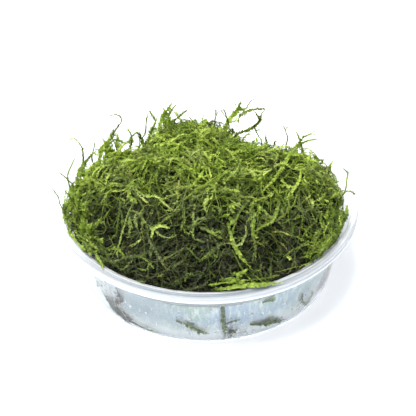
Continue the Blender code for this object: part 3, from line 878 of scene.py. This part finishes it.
def side_strands(tangle, rng, number, longest, looks):
    """Strands that lie on the mat's sides, below the rim, in the gap to the tub's wall."""
    azimuth = rng.uniform(0, math.tau, number)
    depth = rng.uniform(0, 1, number) ** 1.3
    heading = rng.uniform(0, math.tau, number)
    bend = rng.normal(0, 0.08, number)
    proud = rng.uniform(-0.5, 2.2, number)
    routes = []
    for _ in range(steps(longest[1]) + 1):
        wide = (reach(azimuth) - 1.5) * np.interp(depth, *SIDE_SHAPE) + proud
        z = SIDE_TOP + (SIDE_FOOT - SIDE_TOP) * depth
        wide = np.minimum(wide, room(z) - 1.6)
        routes.append(np.stack([wide * np.cos(azimuth), wide * np.sin(azimuth), z], -1))
        bend = 0.9 * bend + rng.normal(0, 0.05, number)
        heading = heading + bend * STEP
        azimuth = azimuth + np.cos(heading) * STEP / wide
        depth = np.clip(depth + np.sin(heading) * STEP / 25, 0, 1)
        proud = np.clip(proud + rng.normal(0, 0.15, number), -0.5, 2.5)
    outward = routes[0] * (1, 1, 0)
    lengths = steps(rng.uniform(*longest, number))
    dressed(tangle, rng, np.stack(routes, 1), lengths, looks, facing=outward)


# ------------------------------------------------------------------ strands on given routes


def spline(stops, step=STEP):
    """Points one step apart along a smooth curve through the stops."""
    stops = np.array(stops, float)
    ends = np.vstack([2 * stops[0] - stops[1], stops, 2 * stops[-1] - stops[-2]])
    t = np.linspace(0, 1, 12, endpoint=False)[:, None]
    dense = []
    for a, b, c, d in zip(ends, ends[1:], ends[2:], ends[3:]):
        square, cube = 2 * a - 5 * b + 4 * c - d, 3 * b - a - 3 * c + d
        dense.append(0.5 * (2 * b + (c - a) * t + square * t**2 + cube * t**3))
    dense = np.vstack([*dense, stops[-1:]])
    walked = np.concatenate([[0], np.cumsum(np.linalg.norm(np.diff(dense, axis=0), axis=1))])
    places = np.linspace(0, walked[-1], max(int(round(walked[-1] / step)), 3) + 1)
    return np.stack([np.interp(places, walked, dense[:, k]) for k in range(3)], 1)


PLACED_LEAF_STEP = 0.3
PLACED_SIDE_STEPS = 8


def placed(tangle, rng, routes, radius, leaf, tint, kind, sides=False, wobble=0.12, facing=None, taper=0.65):
    """Strands on given routes (mm), each with its own radius, leaf length, tint and dryness."""
    shifts = [spline(rng.normal(0, wobble, (max(len(r) // 4, 3), 3)), 0.1) for r in routes]
    routes = [r + shift[: len(r)].mean(0) for r, shift in zip(routes, shifts)]
    count = max(len(r) for r in routes)
    full = np.stack([np.vstack([r, np.repeat(r[-1:], count - len(r), 0)]) for r in routes])
    lengths = np.array([len(r) for r in routes])
    wander_off = np.cumsum(rng.normal(0, wobble * 0.6, full.shape), 1)
    wander_off -= np.linspace(0, 1, count)[None, :, None] * wander_off[:, -1:]
    full = full + wander_off * 0.5
    radius, leaf, tint, kind = (np.array(v, float) for v in (radius, leaf, tint, kind))
    tangle.strands(rng, full, lengths, radius, tint, leaf, PLACED_LEAF_STEP, kind, facing, taper)
    if sides:
        start, heading = branches(rng, full, lengths, 25, 60)
        offset = start[:, 2] - height(start[:, 0], start[:, 1])
        routes = wander(rng, start, heading, PLACED_SIDE_STEPS, 0.1, offset, steer=0.1)
        lengths = rng.integers(4, PLACED_SIDE_STEPS + 1, len(start))
        tangle.strands(rng, routes, lengths, radius * 0.7, tint, leaf * 0.85, PLACED_LEAF_STEP, kind)


def sight(px, py):
    """The direction in which the camera sees a pixel of the photograph."""
    ahead = unit(np.array(CAMERA_AIM) - CAMERA_PLACE)
    right = unit(np.cross(ahead, [0, 0, 1.0]))
    up = np.cross(right, ahead)
    pixels = CAMERA_LENS / SENSOR * FRAME_SIZE
    return unit(ahead + right * (px - FRAME_SIZE / 2) / pixels - up * (py - FRAME_SIZE / 2) / pixels)


# How far from the camera the heap is looked for, from and to, and how finely (mm)
HEAP_SEARCH = (540, 740, 0.4)


def on_heap(px, py, lift):
    """The place, in mm, where the heap raised by lift is seen at a pixel of the photograph."""
    far = np.arange(*HEAP_SEARCH)[:, None]
    points = np.array(CAMERA_PLACE) / MM + far * sight(px, py)
    clearance = points[:, 2] - height(points[:, 0], points[:, 1]) - lift
    below = np.nonzero(clearance < 0)[0]
    return points[below[0] if len(below) else np.argmin(clearance)]


def in_plane(px, py, back):
    """The place, in mm, seen at a pixel of the photograph on the upright plane y = back."""
    way = sight(px, py)
    start = np.array(CAMERA_PLACE) / MM
    return start + way * (back - start[1]) / way[1]


BOW = 2.4


def bow(px, py):
    """How far a standing shoot bows towards the back (mm), alike for shoots that share a pixel."""
    return BOW * math.sin(px / 6) * math.cos(py / 9)


def stops(text):
    """The places in a text: their coordinates with commas, and spaces between the places."""
    return [tuple(float(value) for value in place.split(",")) for place in text.split()]


# Strands that stand out in the photograph: pixels along each, lift above the heap and leaf
# length in mm, tone, and dryness
SEEN_STRANDS = (
    ("172,204 184,199 196,190 210,183 221,175 229,173 232,178 225,182", 2.4, 1.0, 0.8, 0.1),
    ("179,163 188,169 198,173 204,178", 2.4, 1.7, 0.72, 0.0),
    ("248,202 242,210 236,219 233,233 231,244", 2.2, 0.8, 0.62, 0.0),
    ("206,230 214,234 224,239", 2.8, 1.5, 0.72, 0.15),
    ("223,242 216,248 207,256 199,262", 1.8, 1.3, 0.5, 0.0),
    ("144,157 153,161 160,166", 2.2, 1.1, 0.78, 0.0),
    ("150,262 161,261 170,256 181,249 190,243", 1.8, 0.5, 0.6, 0.3),
    ("301,168 300,179 295,188 289,195 288,201 290,207", 3.6, 1.0, 0.9, 0.0),
    ("297,194 294,204 288,211 279,219 266,225 255,231", 2.4, 0.85, 0.8, 0.1),
    ("274,193 265,198 255,201 250,206", 2.8, 1.6, 0.84, 0.2),
    ("263,184 251,196 242,208 236,221 232,236 233,246", 2.2, 0.8, 0.62, 0.0),
    ("252,205 254,218 252,238", 2.2, 1.3, 0.66, 0.0),
    ("258,201 259,212 257,224", 2.4, 1.4, 0.72, 0.0),
    ("272,232 281,232 292,236", 2.0, 0.9, 0.62, 0.6),
    ("283,257 291,252 300,247", 2.0, 1.4, 0.8, 0.0),
    ("275,272 285,270 294,267 303,265", 1.6, 0.6, 0.6, 0.2),
    ("243,242 255,241 265,247", 2.0, 0.8, 0.5, 0.3),
    ("234,246 242,258 249,269 258,278 268,285", 2.2, 0.8, 0.64, 0.0),
    ("232,250 238,262 246,275 258,284 272,287", 1.6, 0.8, 0.62, 0.0),
    ("99,195 110,192 121,191 128,188 134,182", 2.2, 1.0, 0.76, 0.0),
    ("128,189 130,197 134,203", 2.2, 1.4, 0.72, 0.0),
    ("87,229 97,224 105,216 110,209", 2.4, 1.0, 0.78, 0.2),
    ("110,209 104,220 106,229 102,234 97,233", 2.0, 0.6, 0.68, 0.2),
    ("142,208 148,205 154,206", 2.0, 0.7, 0.72, 0.4),
    ("108,236 112,242 115,249", 1.6, 0.4, 0.62, 0.4),
    ("80,162 83,170 87,177 90,194 91,206", 2.6, 0.6, 0.74, 0.2),
    ("129,255 140,257 148,262 146,269 137,268", 1.8, 0.9, 0.7, 0.0),
    ("100,246 108,250 117,249 124,256 126,262", 2.0, 1.2, 0.68, 0.0),
    ("96,239 104,248 108,258", 1.6, 0.8, 0.6, 0.2),
    ("192,200 203,193 214,187", 1.6, 1.2, 0.66, 0.0),
    ("222,193 230,191 239,192", 2.4, 1.5, 0.82, 0.0),
    ("222,199 231,198 240,199", 2.0, 1.3, 0.74, 0.0),
    ("222,207 229,205 234,208", 2.2, 1.6, 0.78, 0.0),
    ("219,217 226,215 231,219", 2.2, 2.0, 0.66, 0.0),
    ("206,253 209,262 207,272", 1.4, 0.8, 0.5, 0.0),
    ("184,262 187,272 185,282", 1.4, 1.0, 0.48, 0.0),
    ("160,206 167,214 172,226", 1.8, 0.6, 0.6, 0.2),
    ("320,212 315,222 306,231 300,240", 1.8, 1.0, 0.55, 0.0),
    ("309,208 303,218 302,228", 1.8, 1.1, 0.6, 0.0),
    ("330,200 333,212 331,224", 1.8, 1.0, 0.6, 0.0),
    ("332,228 326,240 318,250", 1.6, 1.2, 0.6, 0.0),
    ("300,258 307,256 316,252", 1.6, 1.1, 0.64, 0.0),
    ("229,177 240,179 252,180 262,182", 2.8, 1.6, 0.88, 0.0),
    ("193,190 204,185 214,178 224,172", 2.8, 0.9, 0.84, 0.0),
)

# Shoots that stand up against the background: pixels along each, how far back each stands
# (mm), leaf length in mm, tone, and dryness
FRINGE_STRANDS = (
    ("81,172 83,160 83,150 80,143 74,138 67,142", 18, 0.8, 0.55, 0.2),
    ("98,168 100,156 103,147 110,139 113,129", 26, 1.8, 0.72, 0.0),
    ("111,136 116,129 121,122 120,117 115,115 108,117", 26, 0.6, 0.5, 0.45),
    ("147,156 144,147 141,139 137,132", 28, 1.3, 0.6, 0.0),
    ("137,132 132,136 127,143 116,139 106,146", 28, 0.9, 0.6, 0.0),
    ("141,139 145,133 146,124 148,113", 28, 0.5, 0.6, 0.2),
    ("132,162 130,150 132,141 131,133 128,129", 28, 1.1, 0.62, 0.0),
    ("124,164 121,153 117,145 112,140", 27, 1.1, 0.6, 0.0),
    ("95,168 92,158 94,148 95,141", 22, 0.5, 0.5, 0.2),
    ("83,176 85,165 90,157 97,151", 18, 1.0, 0.64, 0.0),
    ("76,188 78,175 82,167 86,160", 14, 1.2, 0.66, 0.0),
    ("73,207 74,194 72,183", 6, 1.5, 0.68, 0.0),
    ("80,206 80,192 84,180 85,172", 8, 1.5, 0.68, 0.0),
    ("87,208 85,197 88,185", 6, 1.3, 0.64, 0.0),
    ("108,170 105,160 108,151 113,144", 24, 1.2, 0.6, 0.0),
    ("117,170 116,160 119,150 124,145", 25, 1.0, 0.56, 0.0),
    ("139,162 137,151 141,142", 29, 1.1, 0.58, 0.0),
    ("152,146 150,134 154,125 157,117", 32, 1.3, 0.6, 0.0),
    ("160,126 163,116 168,109 172,103", 36, 1.6, 0.74, 0.0),
    ("169,116 173,108 177,104", 36, 1.3, 0.72, 0.0),
    ("167,118 165,111 161,107", 36, 1.1, 0.72, 0.0),
    ("174,122 181,114 188,109", 38, 1.1, 0.56, 0.0),
    ("214,128 216,118 216,107", 40, 0.5, 0.5, 0.3),
    ("229,128 227,118 223,108", 40, 0.5, 0.5, 0.3),
    ("226,126 232,116 239,110 246,109", 40, 1.9, 0.72, 0.0),
    ("235,113 239,107 241,101", 40, 1.2, 0.7, 0.0),
    ("246,109 251,101 257,98", 40, 0.4, 0.6, 0.3),
    ("233,139 239,133 248,130 254,126 261,119 261,114 265,109", 29, 1.3, 0.44, 0.25),
    ("265,109 254,109 246,112 239,118 238,124", 29, 1.3, 0.46, 0.2),
    ("254,126 257,133 261,140", 29, 0.6, 0.56, 0.2),
    ("238,152 240,144 244,136 250,131", 28, 0.9, 0.64, 0.1),
    ("266,150 266,142 265,134", 32, 1.0, 0.6, 0.0),
    ("286,146 287,137 283,126", 32, 0.5, 0.5, 0.2),
    ("303,152 301,144 298,134 296,131", 28, 0.9, 0.62, 0.0),
    ("298,146 303,138 310,134 316,135", 28, 1.0, 0.66, 0.0),
    ("292,150 299,145 308,141 319,139", 26, 1.0, 0.66, 0.0),
    ("324,172 329,167 333,160", 20, 1.1, 0.6, 0.0),
    ("342,196 345,189 346,181 347,173 342,168", 6, 0.7, 0.58, 0.1),
    ("342,196 347,191 353,192 357,197", 3, 0.6, 0.55, 0.2),
    ("74,186 68,180 61,174 54,169", 10, 0.0, 0.42, 0.4),
    ("66,217 60,204 58,197 50,186", -10, 0.0, 0.42, 0.4),
    ("73,198 69,184 68,175 71,166 75,158", 4, 0.6, 0.56, 0.2),
)

# Shoots that hang over the rim: places along each in mm, leaf length in mm, tone, and dryness
RIM_STRANDS = (
    ("3,-53,31 6,-55.5,33.2 12.3,-54.6,33.6 18,-53.6,33.4 23,-52.6,33 27.5,-51.8,32.8", 1.4, 0.63, 0.0),
    ("5,-50,32.5 9,-52,34.6 12,-53.5,34.8 15,-52,34", 1.6, 0.62, 0.0),
    ("9,-47,33 10.5,-50,35.5 13,-52,36", 1.3, 0.6, 0.0),
    ("-41,-33,33 -40.6,-36.5,34 -39.3,-39.6,33.6 -38,-42,32.9 -37.6,-43.6,32.3", 0.9, 0.64, 0.0),
)

# Seeds of the strands that are seen, the lying shoots, the scraps and the drops
SEEN_SEED = 31
LYING_SEED = 40
SCRAP_SEED = 60
DROP_SEED = 70

# Tufts of standing shoots: a pixel at each one's foot on the heap, its half width in pixels,
# the shoots' height, how far they lean to the right (mm), their number, leaf length and tone
TUFTS = (
    ((109, 160), 2.5, 11.5, 0.5, 14, 1.2, 0.6),
    ((115, 160), 3, 13.5, 0.0, 18, 1.2, 0.6),
    ((123, 161), 4, 7.0, 0.5, 10, 1.1, 0.56),
    ((100, 172), 5, 3.0, 0.0, 8, 1.1, 0.56),
    ((148, 148), 5, 8.0, 0.5, 10, 1.1, 0.54),
    ((158, 140), 5, 8.0, 0.5, 10, 1.1, 0.54),
    ((213, 130), 9, 6.0, 0.5, 9, 0.8, 0.5),
    ((268, 150), 7, 6.0, 0.5, 10, 0.9, 0.54),
    ((325, 172), 8, 6.0, 1.0, 12, 0.9, 0.52),
    ((78, 212), 4, 12.0, 0.5, 9, 1.3, 0.6),
    ((85, 224), 4, 12.0, -1.0, 9, 1.4, 0.62),
    ((90, 240), 4, 12.0, -2.0, 8, 1.3, 0.6),
    ((94, 255), 4, 10.0, -3.0, 6, 1.2, 0.58),
    ((168, 132), 4, 8.0, 1.0, 14, 1.3, 0.64),
    ((243, 160), 9, 9.0, 2.0, 14, 0.7, 0.66),
    ((252, 155), 7, 7.5, 0.5, 14, 0.8, 0.6),
    ((300, 160), 8, 5.0, 1.0, 8, 0.9, 0.56),
)


def build_seen_strands(material):
    rng = np.random.default_rng(SEEN_SEED)
    tangle = Tangle(dull=0.35)
    routes = [spline([on_heap(px, py, lift) for px, py in stops(text)]) for text, lift, *_ in SEEN_STRANDS]
    leaves, tints, kinds = np.array([row[-3:] for row in SEEN_STRANDS]).T
    placed(tangle, rng, routes, 0.1 + 0.06 * leaves, 0.85 * leaves, tints - 0.13, kinds, sides=True)
    return tangle.object("long_shoots", material)


def rooted(route, others):
    """A route with a foot in the heap, unless it starts there or on one of the others."""
    x, y, z = route[0]
    gap = min([np.linalg.norm(other - route[0], axis=1).min() for other in others], default=9.0)
    if z <= height(x, y) + 0.3 or gap <= 0.6:
        return route
    foot = np.array([0.97 * x, 0.97 * y, float(height(0.97 * x, 0.97 * y)) - 1.0])
    return spline([foot, *route[::4], route[-1]])


def build_standing_strands(material):
    rng = np.random.default_rng(SEEN_SEED + 1)
    tangle = Tangle(dull=0.3)
    routes = []
    for text, back, *_ in FRINGE_STRANDS:
        route = spline([in_plane(px, py, back + bow(px, py)) for px, py in stops(text)])
        routes.append(rooted(route, routes))
    routes += [spline(stops(text)) for text, *_ in RIM_STRANDS]
    leaves, tints, kinds = np.array([row[-3:] for row in FRINGE_STRANDS + RIM_STRANDS]).T
    radii = np.where(leaves > 0, 0.35, 0.29)
    facing = np.tile([0.0, -0.8, 0.6], (len(routes), 1))
    placed(tangle, rng, routes, radii, leaves, tints - 0.01, kinds, sides=True, facing=facing, taper=0.3)
    for foot, half_width, tall, lean, number, leaf, tint in TUFTS:
        spots = np.array(foot) + rng.uniform(-1, 1, (number, 2)) * (half_width, 3)
        start = np.array([on_heap(px, py, -1.5) for px, py in spots])
        heading = rng.normal(0, 0.22, (number, 3)) + np.array([lean / tall, 0, 1])
        lengths = steps(tall * rng.uniform(0.5, 1.1, number))
        shoots = rising(rng, start, heading, max(lengths), rng.uniform(0.03, 0.1, number))
        tints = rng.normal(tint - 0.06, 0.07, number)
        sizes = leaf * rng.uniform(0.75, 1.1, number)
        tangle.strands(rng, shoots, lengths, 0.11 + 0.07 * sizes, tints, sizes, 0.34)
    return tangle.object("standing_shoots", material)


# The CAD's loose shoots: places seen from above in mm, half width in mm, and tone
LYING_SHOOTS = (
    ("1,-54.2 8,-54 15,-52.5 21,-50.8 26.5,-48.2", 1.1, 0.79),
    ("8,-30 9.6,-38 12.4,-45 17,-49.5", 1.0, 0.7),
    ("36,1 35.3,-6 32,-14 30.5,-21 31,-28", 0.9, 0.68),
    ("37,19 33.3,10 29,-1 25,-8.5 21,-14", 0.9, 0.8),
    ("-19.5,-37 -19.2,-34 -16.5,-32 -13,-32.5", 0.9, 0.82),
    ("27.5,-17 26.5,-22.5 23.5,-28.5 18,-33", 1.0, 0.66),
    ("-50,-10 -46,-14 -40,-15 -34,-18", 1.0, 0.7),
    ("-30,2 -23,-2 -15,-3 -8,-7", 1.1, 0.72),
)


def build_lying_shoots(material):
    """A leafy shoot in the place of each of the CAD's loose shoots."""
    made = []
    for number, (text, half_width, tint) in enumerate(LYING_SHOOTS, 1):
        rng = np.random.default_rng(LYING_SEED + number)
        tree = node_tree(f"lying_shoot_{number}")
        route = spline([(x, y, 0) for x, y in stops(text)])
        levels = np.array([top_at(tree, x, y, np.nan) - 0.4 for x, y, _ in route])
        known = ~np.isnan(levels)
        route[:, 2] = np.interp(np.arange(len(route)), np.nonzero(known)[0], levels[known])
        tangle = Tangle(dull=0.3)
        placed(tangle, rng, [route], [0.2], [half_width * 1.3], [tint - 0.17], [0.05], wobble=0.05)
        made.append(tangle.object(f"loose_shoot_{number}", material))
    return made


# ------------------------------------------------------------------ the scraps and drops on the wall

# The scraps on the wall's inside: degrees round from the front and height in mm along each, half
# width in mm, and the side shoot's places
WALL_SCRAPS = (
    ("6.8,24.5 6.9,20.7 7.2,15 7.9,9.1 8.3,3.4", 0.8, "7.8,11.2 11.1,12.1 14.9,13"),
    ("10.2,5.0 11.2,6.8 12.6,6.2", 1.0, "11.0,6.6 10.6,4.6 10.0,3.0"),
    ("-12.5,12.4 -7.9,10.9 -3.7,8.3 1,6.1", 1.0, ""),
    ("19.3,8.6 25.1,7.2 30.2,6 36.5,4", 1.0, "26,7 30,9.2"),
    ("-49,11 -45.5,9 -41,6 -37,3.2", 2.4, "-43,8 -40.5,12 -36.5,16.6"),
    ("-35,4.2 -28.5,3.3 -20.6,3", 0.5, ""),
    ("45,14 46.5,9 50,5.5 53.5,7.5 52.5,11", 0.7, ""),
    ("-73,12 -70,7 -66,3.5", 0.6, ""),
    ("23.7,19.4 27,19.6 29.9,18.6", 0.7, ""),
)

# The largest scrap's parts, and a crumb beside it
PATCH_NUMBER = 5
PATCH_STRANDS = 36
PATCH_PARTS = (
    ("-48.5,8.5 -45.5,10 -43,10.5", 0.7),
    ("-46.5,12 -44.5,10 -42.5,8.5", 0.7),
    ("-44,13 -43,10.5 -41.5,8", 0.8),
    ("-46,6.8 -43.5,7.5 -40.5,7", 0.8),
    ("-42,9.5 -39.5,7 -38,4", 0.8),
    ("-41.5,11.5 -40.5,14.5 -39.3,17", 0.5),
    ("-39.8,20.3 -39,18 -38.2,16", 0.8),
    ("-40.5,17.5 -39,17.5 -37.5,15.5", 0.6),
    ("-40,5.5 -37.5,3.6 -35.5,3.0", 0.8),
    ("-38.5,8 -36,6.5 -34.5,5.2", 0.7),
    ("-36,3.6 -34,3.8 -31.5,4.2", 0.5),
    ("-53,15.8 -52.2,14.6 -51.6,13.6", 0.7),
    ("-50,12.5 -48.5,11 -47,9.5", 0.5),
)


def wall_place(degrees, height_mm, inset=0.2):
    azimuth = math.radians(degrees - 90)
    radius = float(np.interp(height_mm, *INNER_WALL)) - inset
    return (radius * math.cos(azimuth), radius * math.sin(azimuth), height_mm)


def patch_runs(rng, line):
    """The largest scrap's parts, with short strands strewn along its line."""
    runs = [(stops(text), wide) for text, wide in PATCH_PARTS]
    for _ in range(PATCH_STRANDS):
        middle = line[0] + (np.array(line[-1]) - line[0]) * rng.uniform(0.1, 0.95) + rng.normal(0, 0.9, 2)
        lean = rng.uniform(-0.9, 2.0)
        half = rng.uniform(0.8, 1.9) * np.array([math.cos(lean) * 1.15, math.sin(lean)])
        run = [middle - half, middle + rng.normal(0, 0.3, 2), middle + half]
        runs.append((run, rng.uniform(0.4, 0.75)))
    return runs


def build_wall_scraps(material):
    """Leafy scraps flat against the wall's inside."""
    made = []
    for number, (text, half_width, side_text) in enumerate(WALL_SCRAPS, 1):
        rng = np.random.default_rng(SCRAP_SEED + number)
        patch = number == PATCH_NUMBER
        runs = [(stops(text), min(half_width, 1.0))]
        if patch:
            runs += patch_runs(rng, stops(text))
        if side_text:
            runs.append((stops(side_text), min(half_width * 0.55, 0.9)))
        routes = [spline([wall_place(d, max(z, 2.8)) for d, z in run]) for run, _ in runs]
        sizes = np.array([wide for _, wide in runs])
        facing = np.array([r[0] * (1, 1, 0) for r in routes])
        tangle = Tangle(dull=1.0 if patch else 0.1)
        tints = rng.normal(0.14 if patch else 0.4, 0.07, len(runs))
        radii = 0.14 + 0.34 * sizes
        placed(tangle, rng, routes, radii, sizes * 1.9, tints, sizes * 0, wobble=0.03, facing=facing)
        made.append(tangle.object(f"wall_scrap_{number}", material))
    return made


# Strewn drops: their number, mean and spread of the degrees round from the front, and the ranges of
# their heights and sizes in mm
DROP_GROUPS = (
    (40, (12, 5), (2.8, 8), (0.25, 0.6)),
    (26, (-38, 7), (3, 22), (0.2, 0.5)),
    (26, (-6, 7), (6, 16), (0.2, 0.4)),
)
LOOSE_DROPS = 160
LARGE_DROPS = (
    "35,14,1.0 19,15,0.7 16,16.5,0.6 24.5,13.5,0.8 -25,14,0.7 -21,9,0.6 12,9,0.9 14,7,0.8 11,5.5,0.6 "
    "17,4.2,0.7 9.5,11,0.5 15,10.5,0.6"
)
DROP_AZIMUTHS = 10
DROP_RINGS = 5


def build_drops(material):
    """Water drops on both faces of the wall, thickest low in front."""
    rng = np.random.default_rng(DROP_SEED)
    places = []
    for number, degrees, heights, sizes in DROP_GROUPS:
        places += [(rng.normal(*degrees), rng.uniform(*heights), rng.uniform(*sizes)) for _ in range(number)]
    for _ in range(LOOSE_DROPS):
        places.append((rng.uniform(-180, 180), rng.uniform(3, 22), rng.uniform(0.2, 0.5)))
    points, faces = [], []
    for degrees, z, size in places + stops(LARGE_DROPS):
        outside = rng.random() < 0.6
        centre = np.array(wall_place(degrees, z, -0.8 if outside else 0.02))
        out = unit(centre * (1, 1, 0))
        across = np.cross([0, 0, 1.0], out)
        first = len(points)
        tall = np.array([0, 0, rng.uniform(0.9, 1.4)])
        for bow_angle in np.linspace(0.04, math.pi - 0.04, DROP_RINGS):
            for j in range(DROP_AZIMUTHS):
                turn = math.tau * j / DROP_AZIMUTHS
                flat = across * math.cos(turn) + tall * math.sin(turn)
                points.append(centre + size * (flat * math.sin(bow_angle) + out * 0.45 * math.cos(bow_angle)))
        faces += bands(DROP_RINGS, DROP_AZIMUTHS, first)
        faces.append(tuple(range(first, first + DROP_AZIMUTHS)))
        faces.append(tuple(reversed(range(len(points) - DROP_AZIMUTHS, len(points)))))
    return solid("water_drops", points, faces, material)


# ------------------------------------------------------------------ building it

dark_moss = moss_material("Dark moss", 0.5, 0.18)
green_moss = moss_material("Green moss", 0.45, 0.24)
bright_moss = moss_material("Bright moss", 0.45, 0.24)
wet_moss = moss_material("Wet scraps", 0.4, 0.2, WET_COLOURS)

# The deeper layers have darker tones: older moss underneath, and painted shade of the tangle's depths
# Strands' looks, as dressed takes them
INNER = ((0.25, 0.07), (0.12, 0.22), (0.55, 0.85), 0.8)
SIDE = ((0.4, 0.12), (0.14, 0.28), (0.7, 1.1), 1.1)
MIDDLE = ((0.435, 0.09), (0.12, 0.2), (0.6, 0.95), 0.42)
UPPER = ((0.545, 0.09), (0.13, 0.21), (0.65, 1.1), 0.34)
CROWN = ((0.525, 0.08), (0.13, 0.21), (0.65, 1.05), 0.36)
THREAD = ((0.435, 0.13), (0.1, 0.15), (0.42, 0.66), 0.55)
EDGE = ((0.5, 0.1), (0.13, 0.2), (0.8, 1.2), 0.34)
UPRIGHT = ((0.5, 0.1), (0.13, 0.2), (0.8, 1.2), 0.38)
FRINGE = ((0.48, 0.1), (0.13, 0.2), (0.7, 1.1), 0.38)

# Each layer's name, seed, material and dullness, and what grows in it
LAYERS = (
    ("inner_leaves", 18, dark_moss, 1.0, (scattered_leaves, 19000, (-3.6, -1.4), (1.2, 2.4), (0.25, 0.09))),
    ("under_moss", 11, dark_moss, 1.0, (layer, 370, (-3.0, -0.4), (10, 28), INNER, (0.04, 0.14), 0.8)),
    ("side_moss", 16, dark_moss, 1.0, (side_strands, 360, (10, 30), SIDE)),
    (
        "middle_moss", 12, green_moss, 1.0,
        (layer, 405, (-1.8, 0.6), (10, 28), MIDDLE, (0.05, 0.15), 0.7, None, 0.03),
    ),
    (
        "upper_moss", 13, bright_moss, 1.0,
        (layer, 270, (-0.2, 1.8), (12, 32), UPPER, (0.04, 0.13), 0.7, lit, 0.02),
    ),
    (
        "crown_moss", 17, bright_moss, 1.0,
        (layer, 280, (-0.6, 1.4), (10, 26), CROWN, (0.05, 0.14), 0.7, crown, 0.02),
    ),
    (
        "moss_threads", 14, green_moss, 1.0,
        (layer, 380, (-0.8, 1.4), (10, 34), THREAD, (0.05, 0.15), 0.9, None, 0.05),
    ),
    ("edge_moss", 19, bright_moss, 0.4, (edge_strands, 120, (6, 16), EDGE)),
    (
        "upright_moss", 15, bright_moss, 1.0,
        (uprights, 240, (4, 10), UPRIGHT, lit),
        (uprights, 150, (4, 11), FRINGE, fringe),
    ),
)


def build_layer(name, seed, material, dull, *growths):
    rng, tangle = np.random.default_rng(seed), Tangle(dull)
    for grow, *values in growths:
        grow(tangle, rng, *values)
    return tangle.object(name, material)


bed = build_bed(bed_material())
layers = [build_layer(*row) for row in LAYERS]
long_shoots = build_seen_strands(bright_moss)
standing = build_standing_strands(bright_moss)
loose = build_lying_shoots(bright_moss)
scraps = build_wall_scraps(wet_moss)
drops = build_drops(water_material())
tub = turned("tub_shell", rounded(TUB_SECTION), tub_material())
film = turned("wall_film", FILM_SECTION, film_material())

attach(tub, "root")
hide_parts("tub")
for piece in (bed, *layers, standing):
    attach(piece, "root")
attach(long_shoots, "root")
for piece in (film, drops):
    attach(piece, "root")
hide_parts("moss_mat")
for number, piece in enumerate(loose, 1):
    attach(piece, "root")
    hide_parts(f"lying_shoot_{number}")
for number, piece in enumerate(scraps, 1):
    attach(piece, "root")
    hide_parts(f"wall_sprig_{number}")


# ------------------------------------------------------------------ stage, light and camera

FLOOR_HALF = 4000.0


def build_floor():
    paint = Paint("White floor")
    paint.set(Base_Color=(0.82, 0.835, 0.86), Roughness=0.6)
    paint.set(Emission_Color=(0.97, 0.98, 1.0), Emission_Strength=0.492)
    corners = [(x * FLOOR_HALF, y * FLOOR_HALF, 0) for x, y in ((-1, -1), (1, -1), (1, 1), (-1, 1))]
    solid("floor", corners, [(0, 1, 2, 3)], paint.material)


def aimed(name, data, place, aim):
    """An object that looks from a place at another."""
    made = bpy.data.objects.new(name, data)
    made.location = place
    made.rotation_euler = (Vector(aim) - Vector(place)).to_track_quat("-Z", "Y").to_euler()
    bpy.context.scene.collection.objects.link(made)
    return made


def area_light(name, place, aim, size, power, colour):
    data = bpy.data.lights.new(name, "AREA")
    data.shape = "DISK"
    data.size = size
    data.energy = power
    data.color = colour
    aimed(name, data, place, aim)


def build_stage():
    build_floor()
    world = bpy.data.worlds.new("Studio")
    world.use_nodes = True
    background = world.node_tree.nodes["Background"]
    background.inputs["Color"].default_value = (0.95, 0.97, 1.0, 1)
    background.inputs["Strength"].default_value = 0.4
    scene = bpy.context.scene
    scene.world = world
    scene.view_settings.view_transform = "Standard"
    scene.view_settings.look = "None"
    area_light("Key", (-0.28, -0.05, 0.95), (0, 0, 0.03), 0.8, 25.0, (1.0, 0.99, 0.96))
    area_light("Front fill", (0.25, -0.75, 0.2), (0, 0, 0.02), 0.5, 1.8, (0.96, 0.98, 1.0))
    camera_data = bpy.data.cameras.new("Camera")
    camera_data.lens = CAMERA_LENS
    camera_data.sensor_width = SENSOR
    scene.camera = aimed("Camera", camera_data, CAMERA_PLACE, CAMERA_AIM)


build_stage()
